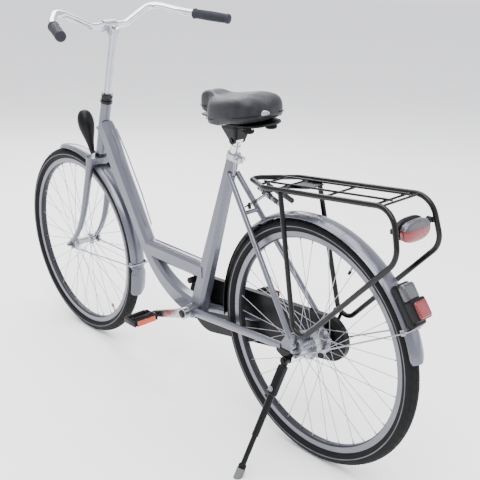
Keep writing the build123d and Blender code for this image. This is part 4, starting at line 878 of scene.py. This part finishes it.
def make_pedal(side, centre, near, body):
    """A block pedal: two grooved rubber treads between end plates, with a reflector on each edge."""
    length = 92.0
    depth = 66.0
    height = 22.0
    middle = side * (near + length / 2)
    ribs = []
    shape = Shape()
    for edge in (-1, 1):
        bar_x = centre.x + edge * (depth / 2 - 10)
        shape.add(block((bar_x, middle, centre.z), (17, length - 15, height - 5), 2.0), 0)
        for rib in range(RIB_COUNT):
            y = middle + (rib - (RIB_COUNT - 1) / 2) * (length - 22) / RIB_COUNT
            for face in (-1, 1):
                spot = place(bar_x, y, centre.z + face * (height / 2 - 2.4))
                ribs.append((spot, UP * face, AHEAD, 1.0))
        reflector_x = centre.x + edge * (depth / 2 - 1.6)
        shape.add(block((reflector_x, middle, centre.z), (3.2, length - 22, height - 4), 1.2), 2)
    for end in (3.5, length - 3.5):
        shape.add(block((centre.x, side * (near + end), centre.z), (depth - 4, 6.5, height - 3), 2.2), 1)
    barrel = [(6, 1), (10.5, 1), (10.5, 20), (8.5, 24), (8.5, length - 24), (10.5, length - 20),
              (10.5, length - 2), (8.0, length - 0.6), (2, length - 0.2)]
    shape.add(turned(barrel, place(centre.x, side * near, centre.z), LEFT * side, 24), 1)
    shape.finish(f"{body}_block", body, [BLACK_RUBBER, PLASTIC, AMBER_LENS], [body])
    stamped(f"{body}_tread_ribs", body, TREAD_RIB, ribs, BLACK_RUBBER)


make_pedal(1, LEFT_PEDAL, 71.0, "left_pedal")
make_pedal(-1, RIGHT_PEDAL, 83.0, "right_pedal")


# ---------------------------------------------------------------- cranks
def make_crank_trim():
    """The dust caps over the cranks' bolts."""
    shape = Shape()
    for side, outer in ((1, 69.0), (-1, 81.0)):
        cap = [(13, 0), (13.5, 0.8), (12.6, 2.6), (9.0, 3.6), (2.0, 4.0)]
        shape.add(turned(cap, place(BRACKET.x, side * outer, BRACKET.z), LEFT * side, 28), 0)
    shape.finish("crank_dust_caps", "cranks", [PLASTIC])


make_crank_trim()


# ---------------------------------------------------------------- lamps
def superellipsoid(centre, sizes, along, over, power=2.6, rings=20, around=40, cut=None):
    """A rounded lens: half sizes in millimetres along, across and over; cut keeps part of its height."""
    side = over.cross(along).normalized()
    verts = []
    for ring in range(rings + 1):
        tilt = -math.pi / 2 + math.pi * ring / rings
        for step in range(around):
            turn = 2 * math.pi * step / around
            spread = abs(math.cos(tilt)) ** (2 / power)
            x = math.copysign(abs(math.cos(turn)) ** (2 / power), math.cos(turn)) * spread
            y = math.copysign(abs(math.sin(turn)) ** (2 / power), math.sin(turn)) * spread
            z = math.copysign(abs(math.sin(tilt)) ** (2 / power), math.sin(tilt))
            if cut:
                z = max(cut[0], min(cut[1], z))
            offset = along * (x * sizes[0]) + side * (y * sizes[1]) + over * (z * sizes[2])
            verts.append(place(*centre) + offset * MM)
    faces = []
    for ring in range(rings):
        here, there = ring * around, (ring + 1) * around
        for step in range(around):
            n = (step + 1) % around
            faces.append((here + step, here + n, there + n, there + step))
    return verts, faces


def make_rack_lamp():
    """The rack's rear lamp: a red lens under a thin smoked dome, on a black back between two arms."""
    back = heading(-1, 0, 0)
    shape = Shape()
    centre = (-326, 0, 755)
    shape.add(superellipsoid(centre, (16, 50, 27), back, UP, cut=(-1, 0.34)), 0)
    shape.add(superellipsoid(centre, (16.6, 50.6, 26), back, UP, cut=(0.34, 1)), 1)
    shape.add(superellipsoid((-306, 0, 756), (13, 51, 27), back, UP), 2)
    for side in (-1, 1):
        arm = [(-303, side * 42, 762), (-316, side * 58, 764), (-326, side * 70, 764)]
        shape.add(rod(rounded(arm, [8]), 5.5, 12), 2)
        shape.add(block((-318, side * 66, 764), (22, 9, 13), 2.5), 2)
    lamp_materials = [RED_LENS, GREY_LENS, PLASTIC]
    shape.finish("rack_lamp", "frame", lamp_materials, ["rack_lamp_lens", "rack_lamp_housing"])


def make_guard_lamp():
    """The mudguard's lamp: a black housing, a smoked window above and a red lens below and behind."""
    turn = math.radians(146.5)
    out = Vector((math.cos(turn), 0, math.sin(turn)))
    down = Vector((-math.sin(turn), 0, math.cos(turn)))
    lean_out = heading(*out)
    lean_down = heading(*down)
    foot = Vector((0, 0, WHEEL_RADIUS)) + out * GUARD_RADIUS
    shape = Shape()
    # how far out and down each block is, its sizes, its rounding and its material
    parts = [
        (11, 0, (112, 50, 26), 8.0, 2), (33, 18, (54, 50, 30), 6.0, 2),
        (40, 20, (44, 44, 24), 6.0, 0), (27, -28, (46, 46, 24), 9.0, 1),
    ]
    for rise, drop, size, bevel, kind in parts:
        spot = foot + out * rise + down * drop
        shape.add(block(spot, size, bevel, along=lean_down, over=lean_out, segments=4), kind)
    lamp_materials = [RED_LENS, GREY_LENS, PLASTIC]
    shape.finish("mudguard_lamp", "frame", lamp_materials, ["mudguard_lamp_lens", "mudguard_lamp_housing"])


make_rack_lamp()
make_guard_lamp()


# ---------------------------------------------------------------- rack trim
def make_rack_trim():
    """The hook ring, the strap's two flat bars with their bolts, and the bolts at the rack's feet."""
    shape = Shape()
    ring = [(-6 + 13 * math.cos(t), -86, 414 + 16 * math.sin(t)) for t in np.linspace(-0.6, 3.8, 16)]
    shape.add(rod(ring, 2.2, 10))
    low = Vector((99, 0, 731))
    high = Vector((196, 0, 762))
    way = (high - low).normalized()
    bolt_spots = []
    for side in (-1, 1):
        bars = [(low, high - way * 38, 22, (66, 3.2, 17)), (low + way * 40, high, 17, (60, 3.2, 15))]
        for start, end, offset, size in bars:
            middle = (start + end) / 2
            y = side * offset
            over = heading(-way.z, 0, way.x)
            shape.add(block((middle.x, y, middle.z), size, 1.4, along=heading(*way), over=over))
        for reach, y in ((4, 24), (30, 24), (54, 24), (84, 19)):
            spot = low + way * reach
            bolt_spots.append((place(spot.x, side * y, spot.z), LEFT * side, 4.6))
        bolt_spots.append((place(-6, side * 83, WHEEL_RADIUS + 20), LEFT * side, 5.8))
        bolt_spots.append((place(-7, side * 77.5, WHEEL_RADIUS - 15), LEFT * side, 4.4))
    shape.finish("rack_strap_bars", "frame", [ENAMEL])
    bolts("rack_bolt", "frame", bolt_spots)


make_rack_trim()


# ---------------------------------------------------------------- side stand
def make_stand():
    """The stand's upper housing with its hook and bolt, and the ribbed rubber sleeve of its foot."""
    foot = local(place(44.0, 251.0, 16.5))
    way = (foot - STAND_PIVOT).normalized()
    run = (foot - STAND_PIVOT).length
    upper = STAND_PIVOT + way * 60
    shape = Shape()
    shape.add(block(upper, (88, 22, 24), 5.0, along=heading(*way), over=heading(1, 0, 0.1), segments=4), 0)
    hook = STAND_PIVOT + way * 118
    shape.add(rod([hook, hook + Vector((12, -2, 2)), hook + Vector((20, -3, 8))], 3.0, 10), 0)
    shape.finish("stand_housing", "stand", [SATIN])
    seat = place(*(STAND_PIVOT + way * 84 + Vector((0, 13, 4))))
    bolts("stand_bolt", "stand", [(seat, heading(0, 0.94, 0.3), 5.0)])
    sole = Shape()
    profile = [(8.0, -40.0), (10.5, -38.0)]
    for ridge in range(5):
        start = -34.0 + ridge * 5.0
        profile += [(11.4, start), (11.4, start + 2.6), (10.2, start + 3.4), (10.2, start + 4.4)]
    profile += [(11.9, -8.0), (11.9, -6.2)]
    sole.add(turned(profile, place(*(STAND_PIVOT + way * run)), heading(*way), 28))
    sole.finish("stand_foot_sleeve", "stand", [BLACK_RUBBER])


make_stand()


# ---------------------------------------------------------------- saddle
# stations from the nose to the rear: place, half width, top, and the skirt's lower edge
SADDLE_STATIONS = [
    (431, 10, 982, 966),
    (427, 21, 995, 951),
    (414, 29, 1004, 944),
    (392, 33, 1006, 942),
    (368, 38, 1003, 943),
    (350, 56, 996, 930),
    (336, 76, 994, 921),
    (308, 83, 997, 921),
    (276, 85, 1002, 925),
    (240, 85, 1008, 931),
    (210, 83, 1011, 937),
    (186, 75, 1008, 942),
    (170, 60, 1000, 947),
    (162, 36, 988, 953),
    (159, 14, 978, 959),
]
SADDLE_UNDERSIDE = 934.5


def saddle_section(half, top, low):
    """Half of the saddle's section, from the middle of its underside round to the middle of its top."""
    under = min(SADDLE_UNDERSIDE + max(0, low - 932), low + 14)
    middle = low + (top - low) * 0.52
    return [
        (0.0, under), (0.45, under), (0.80, under), (0.86, low + 3), (0.92, low), (0.98, low + 5),
        (1.0, low + (middle - low) * 0.5), (1.0, middle), (0.965, middle + (top - middle) * 0.42),
        (0.87, middle + (top - middle) * 0.74), (0.68, middle + (top - middle) * 0.93),
        (0.42, top), (0.18, top - 1.5), (0.0, top - 2.5),
    ]


PAD_VOXEL = 0.005            # metres
PAD_PRESSURE = 3.0
PAD_CAP = 0.004              # the most that the pad may swell, in metres
PAD_FRAMES = 16


def inflate(piece):
    """Lets the pad swell as stuffed fabric does, by at most PAD_CAP."""
    remesh = piece.modifiers.new("Remesh", "REMESH")
    remesh.mode = "VOXEL"
    remesh.voxel_size = PAD_VOXEL
    depsgraph = bpy.context.evaluated_depsgraph_get()
    even = bpy.data.meshes.new_from_object(piece.evaluated_get(depsgraph))
    piece.modifiers.clear()
    materials = list(piece.data.materials)
    piece.data = even
    even.materials.clear()
    for material in materials:
        even.materials.append(material)
    before = np.array([v.co for v in even.vertices])
    cloth = piece.modifiers.new("Cloth", "CLOTH")
    cloth.settings.use_pressure = True
    cloth.settings.uniform_pressure_force = PAD_PRESSURE
    cloth.settings.effector_weights.gravity = 0.0
    cloth.settings.quality = 5
    cloth.settings.tension_stiffness = 40
    cloth.settings.compression_stiffness = 40
    scene = bpy.context.scene
    for number in range(1, PAD_FRAMES + 1):
        scene.frame_set(number)
    depsgraph = bpy.context.evaluated_depsgraph_get()
    swollen = bpy.data.meshes.new_from_object(piece.evaluated_get(depsgraph))
    after = np.array([v.co for v in swollen.vertices])
    piece.modifiers.clear()
    move = after - before
    move -= move.mean(axis=0)
    length = np.linalg.norm(move, axis=1, keepdims=True)
    move *= np.minimum(1.0, PAD_CAP / np.maximum(length, 1e-9))
    piece.data.vertices.foreach_set("co", (before + move).ravel())
    piece.data.update()
    scene.frame_set(1)


def make_saddle():
    """The padded cover, the pan under it, its piping, its two elastomers and a plain badge."""
    half_sections = [saddle_section(half, top, low) for _, half, top, low in SADDLE_STATIONS]
    count = 2 * len(half_sections[0]) - 2
    verts = []
    for (x, half, _, _), section in zip(SADDLE_STATIONS, half_sections):
        left = [(half * share, z) for share, z in section]
        right = [(-y, z) for y, z in reversed(left[1:-1])]
        verts.extend(place(x, y, z) for y, z in left + right)
    faces = []
    for row in range(len(SADDLE_STATIONS) - 1):
        for k in range(count):
            n = (k + 1) % count
            here, there = row * count, (row + 1) * count
            faces.append((here + k, here + n, there + n, there + k))
    faces.append(tuple(reversed(range(count))))
    last = (len(SADDLE_STATIONS) - 1) * count
    faces.append(tuple(last + k for k in range(count)))
    shape = Shape()
    shape.add((verts, faces))
    cover = shape.finish("saddle_cover", "saddle", [VINYL], sharp=180)
    smooth = cover.modifiers.new("Smooth", "SUBSURF")
    smooth.levels = smooth.render_levels = 2
    depsgraph = bpy.context.evaluated_depsgraph_get()
    cover.data = bpy.data.meshes.new_from_object(cover.evaluated_get(depsgraph))
    cover.modifiers.clear()
    inflate(cover)
    fine = cover.modifiers.new("Fine", "SUBSURF")
    fine.levels = fine.render_levels = 1
    for polygon in cover.data.polygons:
        polygon.use_smooth = True
    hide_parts("saddle_cushion")
    pan = Shape()
    outline = [(x, half * 0.86) for x, half, _, _ in SADDLE_STATIONS[1:-1]]
    rim = outline + [(x, -y) for x, y in reversed(outline)]
    levels = [(930.5, 0.94), (932.0, 1.0), (936.0, 1.0)]
    pan_verts = [place(x, y * scale, z) for z, scale in levels for x, y in rim]
    count = len(rim)
    pan_faces = [tuple(range(count)), tuple(reversed(range(2 * count, 3 * count)))]
    for level in (0, count):
        for k in range(count):
            n = (k + 1) % count
            pan_faces.append((level + k, level + count + k, level + count + n, level + n))
    pan.add((pan_verts, pan_faces))
    pan.finish("saddle_pan", "saddle", [PLASTIC], ["saddle_base"])

    trim = Shape()
    for side in (-1, 1):
        seam = []
        for x, half, top, low in SADDLE_STATIONS[1:-1]:
            seam.append((x, side * (half * 0.975 + 1.2), low + (top - low) * 0.27))
        trim.add(rod(rounded(seam, [6] * (len(seam) - 2)), 1.1, 8), 0)
        elastomer = [(9, -9), (15, -8), (17, -3), (15, 2), (17, 6), (15, 10), (9, 11)]
        trim.add(turned(elastomer, place(200, side * 42, 921), UP, 28), 0)
    face = heading(-0.80, 0.58, 0.10)
    over = (UP - face * UP.dot(face)).normalized()
    trim.add(superellipsoid((167, 27, 968), (4.5, 25, 8.0), face, over, 2.2, 14, 32), 1)
    trim.finish("saddle_trim", "saddle", [BLACK_RUBBER, BADGE])


make_saddle()


# ---------------------------------------------------------------- floor, light and camera
def make_stage():
    """A sheet of paper for a floor, an even sky and four softboxes."""
    size = 60.0
    corners = [(-size, -size, 0), (size, -size, 0), (size, size, 0), (-size, size, 0)]
    mesh = bpy.data.meshes.new("paper_floor")
    mesh.from_pydata(corners, [], [(0, 1, 2, 3)])
    mesh.materials.append(studio_paper())
    floor = bpy.data.objects.new("paper_floor", mesh)
    bpy.context.scene.collection.objects.link(floor)
    floor.location.z = -0.0005

    world = bpy.data.worlds.new("studio_sky")
    bpy.context.scene.world = world
    world.use_nodes = True
    backdrop = world.node_tree.nodes["Background"]
    backdrop.inputs["Color"].default_value = (0.95, 0.96, 1.0, 1)
    backdrop.inputs["Strength"].default_value = 1.5

    lights = [
        ("key_softbox", (-2.6, 2.2, 5.2), 3.4, 330),
        ("fill_softbox", (-4.2, -2.6, 2.4), 3.4, 60),
        ("rim_softbox", (3.4, -1.8, 3.4), 2.4, 140),
        ("top_softbox", (0.6, 0.2, 5.6), 4.2, 330),
    ]
    for name, spot, width, power in lights:
        light = bpy.data.lights.new(name, "AREA")
        light.energy = power
        light.size = width
        lamp = bpy.data.objects.new(name, light)
        lamp.location = spot
        aim = Vector((0, 0, 0.5)) - Vector(spot)
        lamp.rotation_mode = "QUATERNION"
        lamp.rotation_quaternion = aim.to_track_quat("-Z", "Y")
        bpy.context.scene.collection.objects.link(lamp)


CAMERA_PLACE = (-2.04777, 1.51042, 1.28970)
CAMERA_TURNS = (-41.507, -16.990, 1.189)     # yaw, pitch and roll, degrees
CAMERA_LENS = 63.06


def make_camera():
    """A camera behind the bicycle and to its left, a little above its bar."""
    yaw, pitch, roll = (math.radians(a) for a in CAMERA_TURNS)
    ahead = Vector((math.cos(yaw) * math.cos(pitch), math.sin(yaw) * math.cos(pitch), math.sin(pitch)))
    right = ahead.cross(Vector((0, 0, 1))).normalized()
    over = right.cross(ahead)
    tilted_right = right * math.cos(roll) + over * math.sin(roll)
    tilted_over = over * math.cos(roll) - right * math.sin(roll)
    data = bpy.data.cameras.new("camera")
    data.sensor_width = 36.0
    data.lens = CAMERA_LENS
    data.clip_end = 200.0
    camera = bpy.data.objects.new("camera", data)
    turn = Matrix((tilted_right, tilted_over, -ahead)).transposed().to_4x4()
    camera.matrix_world = Matrix.Translation(CAMERA_PLACE) @ turn
    bpy.context.scene.collection.objects.link(camera)
    bpy.context.scene.camera = camera


make_stage()
make_camera()
